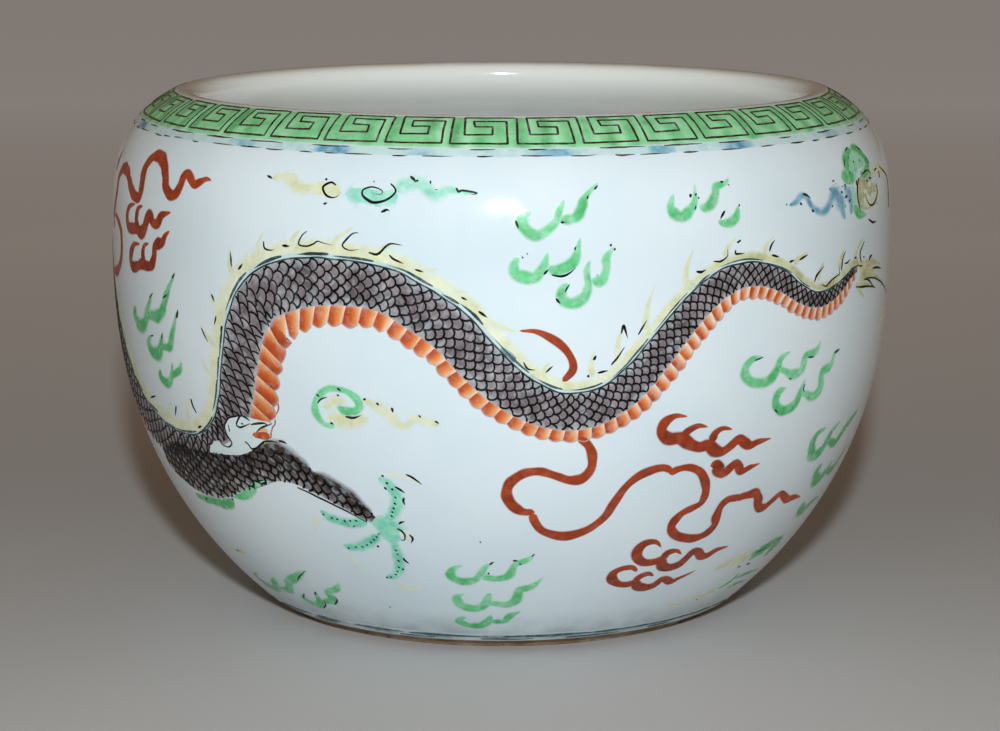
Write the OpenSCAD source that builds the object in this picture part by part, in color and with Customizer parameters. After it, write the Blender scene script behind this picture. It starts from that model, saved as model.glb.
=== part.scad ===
// Brush washer: an incurved porcelain bowl on a low foot ring, painted over its glaze with a
// dragon, flames and clouds under a key-fret border. Millimetres, +Z up, and the origin is the
// middle of the foot ring's underside. The front faces -Y.
// Painted points are given on the unrolled wall: degrees round from the front, + to the right,
// then millimetres up the wall on a sheet that reaches from the table to the crest of the lip.

/* [Body] */
// Height from the table to the crest of the lip
height = 84; // [76:1:92]
// Outside radius at the belly, the widest place
belly_r = 63.5; // [60:0.5:68]
// Height of the belly above the table
belly_z = 59; // [52:1:64]
// Outside radius of the lip
mouth_r = 52; // [48:0.5:55]
// Outside radius where the wall comes down to the table
base_r = 38; // [34:0.5:42]
// Thickness of the wall with its glazes
wall_t = 3.2; // [2.6:0.1:4]
// How far the thick lip rolls in from its crest
lip_roll = 4.8; // [3:0.1:6]
// Depth of the rolled lip below its crest
lip_deep = 9.6; // [7:0.1:11]
// Thickness of the fired clay under the floor
floor_t = 3.6; // [2.6:0.1:5]
// Run and rise of the curve between the wall and the floor inside
floor_run = 7; // [4:0.5:10]

/* [Foot] */
// Width of the foot ring that stands on the table
foot_ring_w = 4.4; // [3:0.1:7]
// Depth of the hollow under the base, inside the foot ring
foot_recess = 2.6; // [1.5:0.1:4]
// Bevel on the edges of the foot ring
foot_bevel = 0.5; // [0.2:0.1:0.8]
// Height of the bare, unglazed foot above the table
bare_foot_h = 1.6; // [1:0.1:3]

/* [Glaze] */
// Thickness of the clear glaze
glaze_t = 0.3; // [0.2:0.05:0.5]
// Clear ring between the base glaze and the foot ring
base_glaze_gap = 0.6; // [0.2:0.1:2]

/* [Enamel] */
// Thickness of a painted enamel
enamel_t = 0.15; // [0.1:0.01:0.3]
// Clearance under a painted stroke, so that its flat facets stay above the glaze
enamel_seat = 0.03; // [0.01:0.01:0.06]

/* [Border] */
// Sheet height of the green band's lower edge
band_low = 89.2; // [88:0.1:91]
// Sheet height of the green band's upper edge
band_high = 96; // [94:0.1:96.4]
// Number of key-fret units round the band
fret_units = 38; // [24:1:44]
// Width of a fret line
fret_line_w = 0.45; // [0.3:0.05:0.6]
// Width of the pale blue ring under the band
shoulder_line_w = 1.6; // [0.8:0.1:2.4]
// Gap between the pale blue ring and the green band
shoulder_line_gap = 0.3; // [0.1:0.1:0.8]
// Sheet height of the foot line's lower edge
foot_line_low = 3.2; // [3:0.1:5]
// Width of the blue-green foot line
foot_line_w = 1.4; // [0.6:0.1:2.2]

/* [Dragon] */
// Width of the scaled body where it is fullest
dragon_w = 7.6; // [6:0.1:8.5]
// Width of the row of belly plates
belly_w = 3; // [2:0.1:3.6]
// Length of a belly plate along the body
belly_pitch = 2.4; // [1.8:0.1:4]
// Gap between neighbouring belly plates
belly_gap = 0.15; // [0.1:0.05:0.4]
// Bare line between the scales and the fin
fin_gap = 1; // [0.4:0.1:1.4]
// Width of the fin along the back
fin_w = 1.3; // [0.8:0.1:1.8]
// How far a spike stands out of the fin
spike_h = 2; // [1:0.1:3]
// Distance from spike to spike along the back
spike_pitch = 6.5; // [5:0.1:10]
// Width of a leg where it is fullest
leg_w = 8; // [6:0.1:9]
// Width of a toe
toe_w = 1.9; // [1.2:0.1:2.2]
// Width of a nail at its root
nail_w = 1; // [0.6:0.1:1.4]

/* [Strokes] */
// Width of a flame ribbon at full pressure of the brush
ribbon_w = 1.5; // [1:0.1:1.8]
// Width of a flame cloud's stroke at full pressure
flame_w = 1.6; // [1:0.1:1.9]
// Width of a green cloud's stroke at full pressure
cloud_w = 1.3; // [0.8:0.1:1.6]
// Width of a yellow wisp at full pressure
wisp_w = 1.4; // [0.8:0.1:1.8]

/* [Hidden] */

// The wall's two power curves, below and above the belly
lower_power = 2.45;
lower_round = 0.9;
upper_power = 3.8;
upper_round = 0.8;
lower_bands = 18;
upper_bands = 14;
nose_bands = 9;
crest_bands = 2;
floor_bands = 5;
// Share of the upper curve's rise at which the round crest of the lip takes over
lip_share = 0.994;

function lower_r(z) = base_r
    + (belly_r - base_r) * pow(1 - pow(max(belly_z - z, 0) / belly_z, lower_power), lower_round);
function upper_r(z) = mouth_r
    + (belly_r - mouth_r)
    * pow(1 - pow((z - belly_z) / (height - belly_z), upper_power), upper_round);

// Normal on the open side of a profile that runs up the outside, over the lip and down inside
function profile_normal(path, i) =
    let (d = path[min(i + 1, len(path) - 1)] - path[max(i - 1, 0)])
    [d.y, -d.x] / norm(d);
function inset(path, t) = [for (i = [0:len(path) - 1]) path[i] - t * profile_normal(path, i)];
function slice(list, a, b) = [for (i = [a:b]) list[i]];
function reversed(list) = [for (i = [len(list) - 1:-1:0]) list[i]];
function bezier(a, b, c, t) = (1 - t) * (1 - t) * a + 2 * t * (1 - t) * b + t * t * c;
function cubic(p, t) = (1 - t) * bezier(p[0], p[1], p[2], t) + t * bezier(p[1], p[2], p[3], t);

// Outside of the glazed wall, from the top of the bare foot to the crest of the lip
outer_curve = concat(
    [for (i = [0:lower_bands])
        let (z = bare_foot_h + (belly_z - bare_foot_h) * i / lower_bands)
        [lower_r(z), z]],
    [for (i = [1:upper_bands])
        let (z = belly_z + (height - belly_z) * lip_share * sin(90 * i / upper_bands))
        [upper_r(z), z]]
);
lip_i = len(outer_curve) - 1;
lip_normal = profile_normal(outer_curve, lip_i);
lip_angle = atan2(lip_normal.y, lip_normal.x);
nose_r = wall_t / 2;
nose_centre = outer_curve[lip_i] - nose_r * lip_normal;
function nose_point(a) = nose_centre + nose_r * [cos(a), sin(a)];
crest_arc = [for (i = [1:crest_bands]) nose_point(lip_angle + (90 - lip_angle) * i / crest_bands)];
// The lip's rolled inside, from its crest: shares of its roll and of its depth
lip_guide = [[0, 0], [-1, 0], [-0.83, -0.62], [0.8, -1]];
crest = nose_point(90);
lip_curve = [for (p = lip_guide) crest + [p.x * lip_roll, p.y * lip_deep]];
nose_arc = [for (i = [1:nose_bands]) cubic(lip_curve, i / nose_bands)];

// Inside of the glazed wall, down to where it curves into the floor
floor_top = foot_recess + floor_t + glaze_t;
inner_high = crest.y - lip_deep - wall_t / 2;
inner_wall = [for (p = reversed(inset(outer_curve, wall_t)))
    if (p.y > floor_top + floor_run && p.y < inner_high) p];
inner_last = inner_wall[len(inner_wall) - 1];
inner_slope = inner_last - inner_wall[len(inner_wall) - 2];
floor_corner = [
    inner_last.x + inner_slope.x / inner_slope.y * (floor_top - inner_last.y), floor_top
];
floor_start = floor_corner - [floor_run, 0];
floor_curve = [for (i = [1:floor_bands])
    bezier(inner_last, floor_corner, floor_start, i / floor_bands)];

glazed_path = concat(outer_curve, crest_arc, nose_arc, inner_wall, floor_curve, [[0, floor_top]]);
crest_i = lip_i + crest_bands;
last_i = len(glazed_path) - 1;
clay_path = inset(glazed_path, glaze_t);
foot_in_r = base_r - foot_ring_w;

// The sheet that the painted points lie on, and its height when the sizes are as drawn
sheet_h = 96.8;
wall_path = concat([[base_r, 0]], slice(glazed_path, 0, crest_i));
wall_run = [for (i = 0, s = 0; i < len(wall_path);
    s = s + norm(wall_path[min(i + 1, len(wall_path) - 1)] - wall_path[i]), i = i + 1) s];
sheet_mm = wall_run[len(wall_run) - 1] / sheet_h;
wall_keys = wall_run / sheet_mm;
r_table = [for (i = [0:len(wall_path) - 1]) [wall_keys[i], wall_path[i].x]];
z_table = [for (i = [0:len(wall_path) - 1]) [wall_keys[i], wall_path[i].y]];
function wall_r(v) = lookup(v, r_table);
function wall_z(v) = lookup(v, z_table);
normal_step = 0.5;
function wall_normal(v) =
    let (d = [wall_r(v + normal_step) - wall_r(v - normal_step),
        wall_z(v + normal_step) - wall_z(v - normal_step)])
    [d.y, -d.x] / norm(d);
// A place in the wall's section, lifted off the glaze
function section_point(v, lift) = [wall_r(v), wall_z(v)] + lift * wall_normal(v);
// The same place on the bowl, at an angle round from the front
function wall_point(u, v, lift) =
    let (p = section_point(v, lift))
    [p.x * sin(u), -p.x * cos(u), p.y];
function degree_mm(v) = wall_r(v) * PI / 180;

// Smooth curve through points, with steps points for each stretch between two of them
function spline(a, b, c, d, t) = (2 * b + (c - a) * t + (2 * a - 5 * b + 4 * c - d) * t * t
    + (3 * b - a - 3 * c + d) * t * t * t) / 2;
function smooth(path, steps) =
    let (n = len(path) - 1)
    concat([for (i = [0:n - 1]) for (k = [0:steps - 1])
        spline(path[max(i - 1, 0)], path[i], path[i + 1], path[min(i + 2, n)], k / steps)],
        [path[n]]);

// Direction to the left of a path's travel on the sheet, for one millimetre on the wall
function left_of(path, i) =
    let (a = path[max(i - 1, 0)], b = path[min(i + 1, len(path) - 1)],
        k = degree_mm(path[i][1]),
        d = [(b[0] - a[0]) * k, (b[1] - a[1]) * sheet_mm])
    [-d.y / norm(d) / k, d.x / norm(d) / sheet_mm];

// A flat strip of enamel: each point of its path is [degrees, height, right edge, left edge]
function strip(path, across, base = enamel_seat) =
    [for (i = [0:len(path) - 1])
        let (p = path[i], side = left_of(path, i),
            edge = [for (j = [0:across]) p[2] + (p[3] - p[2]) * j / across])
        concat(
            [for (e = edge) wall_point(p[0] + e * side.x, p[1] + e * side.y, base)],
            [for (e = reversed(edge))
                wall_point(p[0] + e * side.x, p[1] + e * side.y, base + enamel_t)])];
// A brush stroke with a raised middle: each point of its path is [degrees, height, half width]
function stroke(path, base = enamel_seat) =
    [for (i = [0:len(path) - 1])
        let (p = path[i], side = left_of(path, i))
        [wall_point(p[0] - p[2] * side.x, p[1] - p[2] * side.y, base),
            wall_point(p[0] + p[2] * side.x, p[1] + p[2] * side.y, base),
            wall_point(p[0], p[1], base + enamel_t)]];
// Strokes whose points hold a share of a full width
function brushed(path, width) = stroke([for (p = path) [p[0], p[1], p[2] * width / 2]]);
function moved(path, at) = [for (p = path)
    [at[0] + p[0] * at[2], at[1] + p[1] * abs(at[2]), p[2]]];

function strip_faces(rings, m, start) = concat(
    [for (i = [0:rings - 2]) for (j = [0:m - 1])
        let (a = start + i * m + j, b = start + i * m + (j + 1) % m)
        each [[a, b, a + m], [b, b + m, a + m]]],
    [for (j = [1:m - 2]) [start, start + j + 1, start + j]],
    [for (j = [1:m - 2])
        let (e = start + (rings - 1) * m)
        [e, e + j, e + j + 1]]
);
module enamel(strips) {
    starts = [for (i = 0, s = 0; i < len(strips);
        s = s + len(strips[i]) * len(strips[i][0]), i = i + 1) s];
    polyhedron(
        points = [for (rings = strips) for (ring = rings) each ring],
        faces = [for (i = [0:len(strips) - 1])
            each strip_faces(len(strips[i]), len(strips[i][0]), starts[i])],
        convexity = 10);
}
// A painted ring right round the bowl, between two sheet heights
module enamel_ring(low, high) {
    heights = concat([low], [for (k = wall_keys) if (k > low && k < high) k], [high]);
    rotate_extrude()
        polygon(concat(
            [for (v = heights) section_point(v, 0)],
            [for (v = reversed(heights)) section_point(v, enamel_t)]));
}

// The edge of the dragon's back, from the tail to the neck, with the body's share of its width
dragon_back = [
    [60, 66.8, 0.08], [55, 65.6, 0.16], [50, 64.1, 0.26], [45, 65.6, 0.32], [40, 68.8, 0.4],
    [34, 70.3, 0.46], [28, 68.3, 0.53], [22, 62.8, 0.6], [17, 56.6, 0.64], [13, 53.4, 0.68],
    [9, 52.6, 0.71], [4, 54.9, 0.77], [-1, 60, 0.85], [-6, 65.6, 0.86], [-12, 69.6, 0.84],
    [-18, 71.3, 0.83], [-24, 71.7, 0.88], [-30, 71, 0.95], [-35, 68.6, 0.98], [-38.6, 64, 0.98],
    [-40.4, 58, 0.96], [-41.6, 52.6, 0.92], [-43, 48, 0.82], [-45.5, 44.2, 0.5],
    [-50, 41.5, 0.28], [-56, 41, 0.28], [-62, 42.6, 0.45], [-68, 46, 0.9], [-73, 51.5, 1],
    [-77, 58.5, 1], [-82, 65, 1], [-89, 69.5, 0.98], [-97, 70, 0.96], [-104, 66, 0.94],
    [-109, 60, 0.92], [-114, 55, 0.88], [-121, 53, 0.84], [-128, 55.5, 0.76], [-133, 59.5, 0.7]
];
back_steps = 5;
back_line = smooth(dragon_back, back_steps);
function sheet_gap(a, b) =
    norm([(b[0] - a[0]) * degree_mm((a[1] + b[1]) / 2), (b[1] - a[1]) * sheet_mm]);
back_run = [for (i = 0, s = 0; i < len(back_line);
    s = s + sheet_gap(back_line[i], back_line[min(i + 1, len(back_line) - 1)]), i = i + 1) s];
back_length = back_run[len(back_run) - 1];
back_u = [for (i = [0:len(back_line) - 1]) [back_run[i], back_line[i][0]]];
back_v = [for (i = [0:len(back_line) - 1]) [back_run[i], back_line[i][1]]];
back_w = [for (i = [0:len(back_line) - 1]) [back_run[i], back_line[i][2]]];
function body_width(s) = dragon_w * lookup(s, back_w);
function back_at(s, right, left) = [lookup(s, back_u), lookup(s, back_v), right, left];

// Belly plates are left out behind the shoulder, and shrink with the tail
shoulder_from = [-37, 44];
shoulder_to = -66;
plate_share = 0.45;
function belly_width(s) = belly_w * (plate_share + (1 - plate_share) * lookup(s, back_w));
function behind_shoulder(s) = lookup(s, back_u) < shoulder_from[0]
    && lookup(s, back_u) > shoulder_to && lookup(s, back_v) < shoulder_from[1] + belly_w;
body_ring_gap = 3.5;
edge_clear = 0.1;

// The front leg and the one on the far side, from the shoulder to the wrist
front_leg = [
    [-63, 34.5, 0.55], [-58, 34.6, 0.95], [-52, 34.8, 0.9], [-45, 36.2, 0.7], [-40, 37.4, 0.7],
    [-35, 39.4, 0.72], [-31, 39.2, 0.7], [-27, 36.8, 0.5], [-23, 34.7, 0.4], [-20.4, 32.6, 0.28]
];
far_leg = [
    [-99, 53.5, 0.4], [-98, 49, 0.75], [-99, 44, 0.75], [-103, 39, 0.66], [-108, 35.6, 0.58],
    [-113, 34, 0.46], [-117, 33.4, 0.3]
];
// One foot, drawn round its own palm: four toes, each with a nail
palm = [[-1.8, 1.4, 0.5], [-0.8, 0.6, 1.4], [0, -0.2, 1.6], [0.6, -1.6, 1.1], [0.4, -2.6, 0.6]];
toes = [
    [[0.9, 2, 0.8], [1.4, 4, 0.9], [1.4, 6.2, 0.9], [0.5, 7.8, 0.7], [-0.8, 8.4, 0.4]],
    [[-3.2, 0.4, 0.7], [-5.2, 0.2, 0.8], [-8, 0.6, 0.9], [-10.4, 1.4, 0.5]],
    [[-2.6, -2.2, 0.8], [-4.4, -4, 0.8], [-6.8, -5, 0.9], [-9.2, -5, 0.5]],
    [[0.4, -4, 0.8], [0.6, -6.4, 0.9], [0, -8.8, 0.9], [-1.6, -10.6, 0.5]]
];
nails = [
    [[1.4, 8.6, 0.9], [3.2, 9.4, 0.7], [5.4, 8.4, 0.1]],
    [[-10.9, 0.4, 0.9], [-11.8, -0.8, 0.7], [-12.6, -2.4, 0.1]],
    [[-8.8, -6.4, 0.9], [-8.2, -7.8, 0.7], [-6.6, -9.6, 0.1]],
    [[-1.4, -12.1, 0.9], [0.4, -12.4, 0.7], [3.2, -12, 0.1]]
];
feet_at = [[-17.4, 30, 1], [-120, 32.4, -1]];

// The head, on the far side, with its jaw, horns and beard
skull = [
    [-134.6, 57.6, 2.4], [-138, 59.4, 3.4], [-142, 61, 3.8], [-146, 61.2, 2.8], [-150, 61.4, 2.2],
    [-153, 62.4, 1.2]
];
jaw = [[-141, 55.2, 0.8], [-145, 53.8, 1.3], [-149, 53.6, 1.2], [-152, 55, 0.5]];
horns = [
    [[-140, 65.6, 0.9], [-136, 68.4, 1], [-131, 70.4, 0.8], [-126, 70, 0.1]],
    [[-143.5, 66, 0.8], [-141, 70, 0.9], [-137, 73.4, 0.7], [-132, 75, 0.1]],
    [[-144, 51.6, 0.7], [-142, 48.6, 0.8], [-138.6, 46.4, 0.1]],
    [[-148, 51.4, 0.7], [-147, 47.6, 0.8], [-144, 44.6, 0.1]]
];

// Yellow tuft at the end of the tail
tail_tuft = [
    [[61, 67.2, 0.9], [65, 67, 1], [70, 65.4, 0.8], [76, 63.4, 0.1]],
    [[60.6, 65.2, 0.9], [66, 64.4, 1], [72, 62, 0.8], [79, 59.6, 0.1]],
    [[59.6, 63.6, 0.7], [62.6, 62.6, 0.7], [66.6, 61.8, 0.1]]
];

// Iron-red ribbons
ribbons = [
    [[-80, 75.4, 0.6], [-75, 75.8, 0.9], [-73, 78.4, 1], [-71, 80.4, 1], [-68, 80.2, 1],
        [-65.5, 78.2, 1], [-63, 77, 1], [-61.4, 78.2, 1.1], [-61.3, 81, 1.1], [-60.4, 83, 1.1],
        [-58.6, 83.9, 1.1], [-56, 83.2, 1.1], [-54.3, 81.2, 1.1], [-53.4, 79.2, 1],
        [-51.9, 78.6, 1], [-50.5, 79.2, 1], [-49.8, 81.2, 1], [-48.7, 82, 0.9],
        [-47, 80.8, 0.9], [-45.3, 81.5, 0.6], [-43.4, 81.6, 0.1]],
    [[-80, 63.4, 0.5], [-75, 64, 0.9], [-71.4, 65.8, 1], [-70, 68.6, 1], [-70.9, 71.4, 0.9],
        [-73.6, 72.4, 0.6], [-76, 71.6, 0.1]],
    [[2.3, 62.2, 0.2], [4.6, 62, 0.5], [7, 60.7, 0.65], [8.9, 58.6, 0.65], [9.2, 56.6, 0.5]],
    [[10.6, 44.6, 0.5], [12.1, 43.4, 0.8], [12.5, 41.2, 0.85], [11.2, 39.2, 0.9],
        [9.2, 39.1, 0.9], [6.4, 40.4, 0.8], [3.4, 40.4, 0.85], [1.2, 38.8, 0.95],
        [0.7, 36.6, 1], [2, 34.5, 0.9], [4.2, 33.2, 0.8], [5, 31.4, 0.8], [6.8, 29.6, 0.9],
        [9.8, 29, 1], [13, 30.1, 0.9], [15.3, 32.3, 0.8], [16.8, 35.6, 0.8], [18.8, 38.4, 0.8],
        [22, 40, 0.8], [25, 39.6, 0.7], [28, 39.4, 0.8], [30.4, 37.4, 0.9], [31.3, 34.8, 0.9],
        [30.4, 32.6, 0.8], [27.8, 31.2, 0.9], [26.8, 29.2, 0.95], [28.4, 27, 0.95],
        [31.4, 26.1, 0.95], [34.2, 26.6, 0.95], [35.1, 29, 0.95], [35.4, 31.8, 0.9],
        [37.6, 32.9, 0.9], [41.4, 33, 0.95], [43.2, 31, 1], [45, 29.5, 0.9], [48.4, 31.4, 0.8],
        [51.4, 29.7, 0.8], [53.6, 29.7, 0.6], [56, 29.2, 0.1]]
];

// Iron-red flame clouds: a string of hooks with a wavy tail, and the hooks that spring from it
flames = [
    [[-62.8, 75.9, 0.1], [-65.2, 75.3, 0.5], [-66.4, 73.8, 0.9], [-65.4, 72.1, 1], [-62.4, 72, 1],
        [-60.4, 71.7, 1.1], [-58.8, 73.6, 1], [-57.5, 74.8, 1], [-56.2, 73.7, 1],
        [-54.4, 74.6, 0.8], [-51.6, 76, 0.1]],
    [[-60.4, 76, 0.1], [-61.6, 75.3, 0.5], [-62.2, 74, 0.7]],
    [[-61, 70, 0.1], [-63.2, 69.6, 0.5], [-64.8, 67.6, 0.9], [-63.4, 66, 1], [-60.4, 66.9, 0.9],
        [-57.6, 67, 0.9], [-56.2, 69.2, 0.9], [-54.2, 70.9, 0.9], [-51.8, 73.1, 0.1]],
    [[-57.8, 70.4, 0.1], [-59.3, 70, 0.4], [-60, 68.9, 0.6]],
    [[25.9, 48.1, 0.1], [24, 48.3, 0.5], [22.4, 47.2, 1], [22.6, 45.4, 1.1], [25, 44.6, 1.1],
        [27.4, 43.2, 1.1], [30, 43, 1.1], [32.2, 41.6, 1], [34, 42.4, 0.9], [35.2, 43.3, 0.9],
        [37.2, 42, 0.9], [39, 42.2, 0.6], [41.6, 42.5, 0.1]],
    [[29.4, 46, 0.1], [28, 46.4, 0.5], [26.6, 45.9, 0.6]],
    [[33.7, 45.1, 0.1], [32.2, 45.5, 0.5], [31, 44.9, 0.6]],
    [[31.2, 39.6, 0.7], [32.3, 39, 1.1], [33.8, 38, 1], [35.5, 39.2, 0.9], [37, 37.7, 0.9],
        [38.6, 38, 0.6], [40.6, 38.4, 0.1]],
    [[23.2, 20.2, 0.3], [22, 21.2, 0.5], [20.2, 21.3, 0.6], [18.9, 20, 0.9], [20.2, 17.9, 0.9],
        [23, 17.4, 0.9], [25.4, 16.1, 1], [28, 16.4, 0.9], [29.5, 17.6, 0.9], [31.4, 16.5, 0.8],
        [33, 17.2, 0.5], [36, 18.3, 0.1]],
    [[27, 18.7, 0.1], [25.6, 19.4, 0.5], [24.4, 19, 0.6]]
];
// A flame cloud to place elsewhere, round its own middle, and the places: [degrees, height, size]
flame_shape = [
    [[-4.8, 2.1, 0.1], [-6.2, 3.2, 0.5], [-8.2, 3.2, 0.8], [-9, 1.2, 1], [-7.2, -0.8, 1],
        [-4.4, -0.9, 1], [-2.6, -2.6, 1.1], [0.2, -2.4, 1], [2, 0, 0.9], [4.4, -1.4, 0.9],
        [6.4, -1.2, 0.7], [10, -0.3, 0.1]],
    [[-0.2, -0.1, 0.1], [-1.6, 0.8, 0.5], [-2.9, 0.9, 0.7]]
];
flames_at = [
    [31, 23, 1], [-118, 80, -1], [-150, 80, 1], [-92, 28, -1], [-142, 24, -1], [-185, 44, 1],
    [-215, 72, 1], [-228, 34, -1], [-262, 54, 1], [-204, 18, 1]
];

// Green clouds: two hollow curls and a tail
clouds = [
    [[3.4, 79.2, 0.3], [2.8, 77.6, 0.7], [4, 76.1, 0.9], [6, 76.2, 0.9], [7.2, 77.6, 0.8],
        [7.4, 79.6, 0.6], [8.2, 80.8, 0.2]],
    [[8.4, 78.1, 0.7], [10, 78.8, 0.8], [11, 80.8, 0.7], [12.8, 83, 0.1]],
    [[2.2, 72.6, 0.3], [1.5, 71.2, 0.9], [2.2, 69.8, 1], [4.2, 69.4, 1], [5.6, 70.8, 0.8],
        [6, 73.2, 0.2]],
    [[6.6, 70.9, 0.8], [8.2, 70.8, 1], [9.5, 72, 0.8], [10.2, 75.4, 0.1]],
    [[8.5, 68.6, 0.3], [7.7, 67.4, 0.7], [8.2, 66, 1], [9.8, 65.8, 1], [10.9, 67.2, 0.9],
        [11, 70, 0.5], [11.2, 72, 0.2]],
    [[11.9, 69, 0.6], [12.9, 68.7, 1], [13.5, 70.2, 0.8], [13.6, 72.4, 0.6], [14.6, 73.6, 0.2]],
    [[23.4, 81, 0.2], [22.6, 79.6, 0.8], [23.8, 78.1, 1.1], [25.6, 78.8, 0.9], [26.3, 80.4, 0.5],
        [26.6, 82.2, 0.2]],
    [[27.1, 79.1, 0.9], [28.6, 79, 1], [29.8, 81.4, 0.8], [31.6, 82.2, 0.6], [32.4, 82.9, 0.1]],
    [[29.8, 77, 0.3], [30.8, 76.2, 0.7], [32.6, 77.2, 0.9], [33.2, 79, 0.2]],
    [[37.8, 55.9, 0.2], [35.6, 55.6, 0.7], [34.6, 54, 1], [36, 52.2, 1], [39, 52, 1],
        [40.6, 53.6, 1], [41.2, 55.2, 0.7], [43, 56, 0.2]],
    [[42, 53.2, 0.6], [43.8, 52.3, 0.9], [45.8, 52.8, 1], [46.4, 54.8, 0.8], [48.6, 55.2, 0.7],
        [49.8, 56.8, 0.2]],
    [[43, 50.4, 0.2], [41.4, 49.8, 0.9], [41.2, 48, 1], [43, 46.7, 1], [45.4, 47.4, 1],
        [46.2, 49.2, 0.8], [47, 51.2, 0.2]],
    [[47.4, 48.7, 0.6], [49.4, 47.9, 1], [51, 49, 1.1], [50.9, 51.6, 0.9], [53, 52.2, 0.8],
        [53.6, 54, 0.6], [55.2, 54.6, 0.2]],
    [[55.6, 41.6, 0.2], [53.2, 41, 0.7], [52.6, 39.2, 1], [54, 37.2, 1], [56.6, 37.6, 0.9],
        [57.8, 40.2, 0.7], [60.4, 41.9, 0.2]],
    [[58.8, 38.6, 0.6], [61, 37.9, 0.8], [63.2, 39.6, 0.7], [65.6, 41, 0.7], [68.4, 42.2, 0.2]],
    [[59, 34.8, 0.3], [58, 33.2, 1], [59.6, 31.4, 1.2], [62, 32.2, 0.8]],
    [[63, 32.8, 0.7], [65.4, 32, 0.8], [67.6, 33.2, 0.7], [69.6, 35.6, 0.2]],
    [[58.4, 27.6, 0.3], [59.4, 26, 1.1], [61.4, 25.1, 1], [64, 26.4, 0.7], [67.4, 26.4, 0.2]],
    [[-6.2, 23.2, 0.3], [-7.8, 22.3, 0.7], [-8.3, 20.6, 1], [-6.6, 19.5, 1], [-4.4, 20, 0.8],
        [-3.3, 21.6, 0.7], [-2.6, 22.8, 0.6], [-1.4, 23.8, 0.2]],
    [[-2.4, 20.5, 0.7], [-0.6, 20.3, 0.9], [1.2, 21, 0.9], [2.1, 23.2, 0.7], [4, 24.3, 0.6],
        [5.2, 25.6, 0.1]],
    [[-6.4, 16.8, 0.2], [-7.9, 15.6, 0.8], [-7.4, 13.7, 1], [-5, 12.9, 1.2], [-3, 14, 1],
        [-2, 17, 0.4]],
    [[-1.5, 14.3, 0.7], [1, 14, 1], [2.6, 15.2, 1], [3.1, 17.6, 0.9], [5, 18.3, 0.8],
        [7, 20.6, 0.1]],
    [[-6.8, 10.8, 0.2], [-8.3, 9.2, 1], [-6.4, 8, 1], [-4, 8.1, 1], [-2.6, 9.6, 0.9],
        [-2, 11.2, 0.3]],
    [[-1.5, 9.3, 0.7], [0.6, 9.4, 0.8], [1.6, 11, 0.8], [3.6, 12.2, 0.2]],
    [[-54.4, 13.2, 0.2], [-56.6, 12, 0.8], [-55.6, 10.4, 0.9], [-51.8, 10, 1], [-49.8, 12, 0.9],
        [-47.6, 14.2, 0.2]],
    [[-48.8, 11, 0.8], [-46, 11.2, 1], [-44, 13.6, 1], [-41.4, 15.2, 0.9], [-39, 16.6, 0.9],
        [-36.2, 18.4, 0.1]],
    [[-42, 11.2, 0.3], [-43, 9.6, 0.9], [-40.4, 8.5, 1], [-38.3, 10, 1], [-37.8, 12.6, 0.5]],
    [[-36.6, 10.4, 0.8], [-34.2, 11.4, 1.1], [-34, 13.4, 0.9], [-31.4, 14.8, 0.8],
        [-29.8, 16.8, 0.1]],
    [[-58.6, 29.1, 0.3], [-54, 29.4, 0.6], [-50, 29.4, 0.7], [-46.6, 30.9, 0.7],
        [-43, 32.3, 0.7], [-40.2, 34, 0.5], [-37.4, 35.4, 0.2]],
    [[-63.4, 60, 0.3], [-64.2, 58.4, 0.9], [-62.4, 56.9, 1.1], [-60.2, 58, 0.9], [-59, 60, 0.7],
        [-57.4, 62.8, 0.3]],
    [[-58, 59.3, 0.7], [-56, 59.5, 1], [-54.2, 60.8, 0.8], [-53.2, 63, 0.7], [-50.6, 67, 0.1]],
    [[-58.6, 56, 0.3], [-59.8, 54.6, 0.8], [-58.2, 53.3, 1], [-56.2, 54, 0.9], [-54.8, 57, 0.3]],
    [[-54.6, 54.9, 0.6], [-53, 55.3, 0.8], [-52, 57.6, 0.6], [-50.3, 61.2, 0.2]],
    [[-56.6, 51, 0.3], [-57.2, 49.8, 0.7], [-55.4, 49, 0.8], [-53.8, 50.2, 0.6],
        [-52.8, 52.8, 0.2]],
    [[-52.6, 51, 0.6], [-51, 52, 0.6], [-50.4, 53.4, 0.2]],
    [[-23, 46.8, 0.5], [-25.2, 47.6, 0.7], [-25.8, 49.6, 0.8], [-24.6, 51.9, 0.7],
        [-22.2, 52.6, 0.6], [-19.8, 51.5, 0.8], [-19.4, 49.9, 0.9], [-20.8, 49.3, 0.9],
        [-22.6, 49.9, 0.4]]
];
// A green cloud to place elsewhere, round its own middle, and the places: [degrees, height, size]
cloud_shape = [
    [[-4.2, 1.2, 0.3], [-5.8, 0.3, 0.7], [-6.3, -1.4, 1], [-4.6, -2.5, 1], [-2.4, -2, 0.8],
        [-1.3, -0.4, 0.7], [0.6, 1.8, 0.3]],
    [[-0.4, -1.5, 0.7], [1.4, -1.7, 0.9], [3.2, -1, 0.9], [4.1, 1.2, 0.7], [6, 2.3, 0.6],
        [7.2, 3.6, 0.1]]
];
clouds_at = [
    [-112, 20, 1], [-112, 12, 1], [-88, 14, 1], [-160, 70, 1], [-166, 34, 1], [-164, 26, 1],
    [-176, 14, 1], [-194, 60, 1], [-192, 82, 1], [-212, 52, 1], [-232, 58, 1], [-240, 78, 1],
    [-250, 22, 1], [-256, 14, 1], [-268, 80, 1], [-272, 34, 1], [-210, 30, 1], [-250, 42, 1]
];

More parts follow.
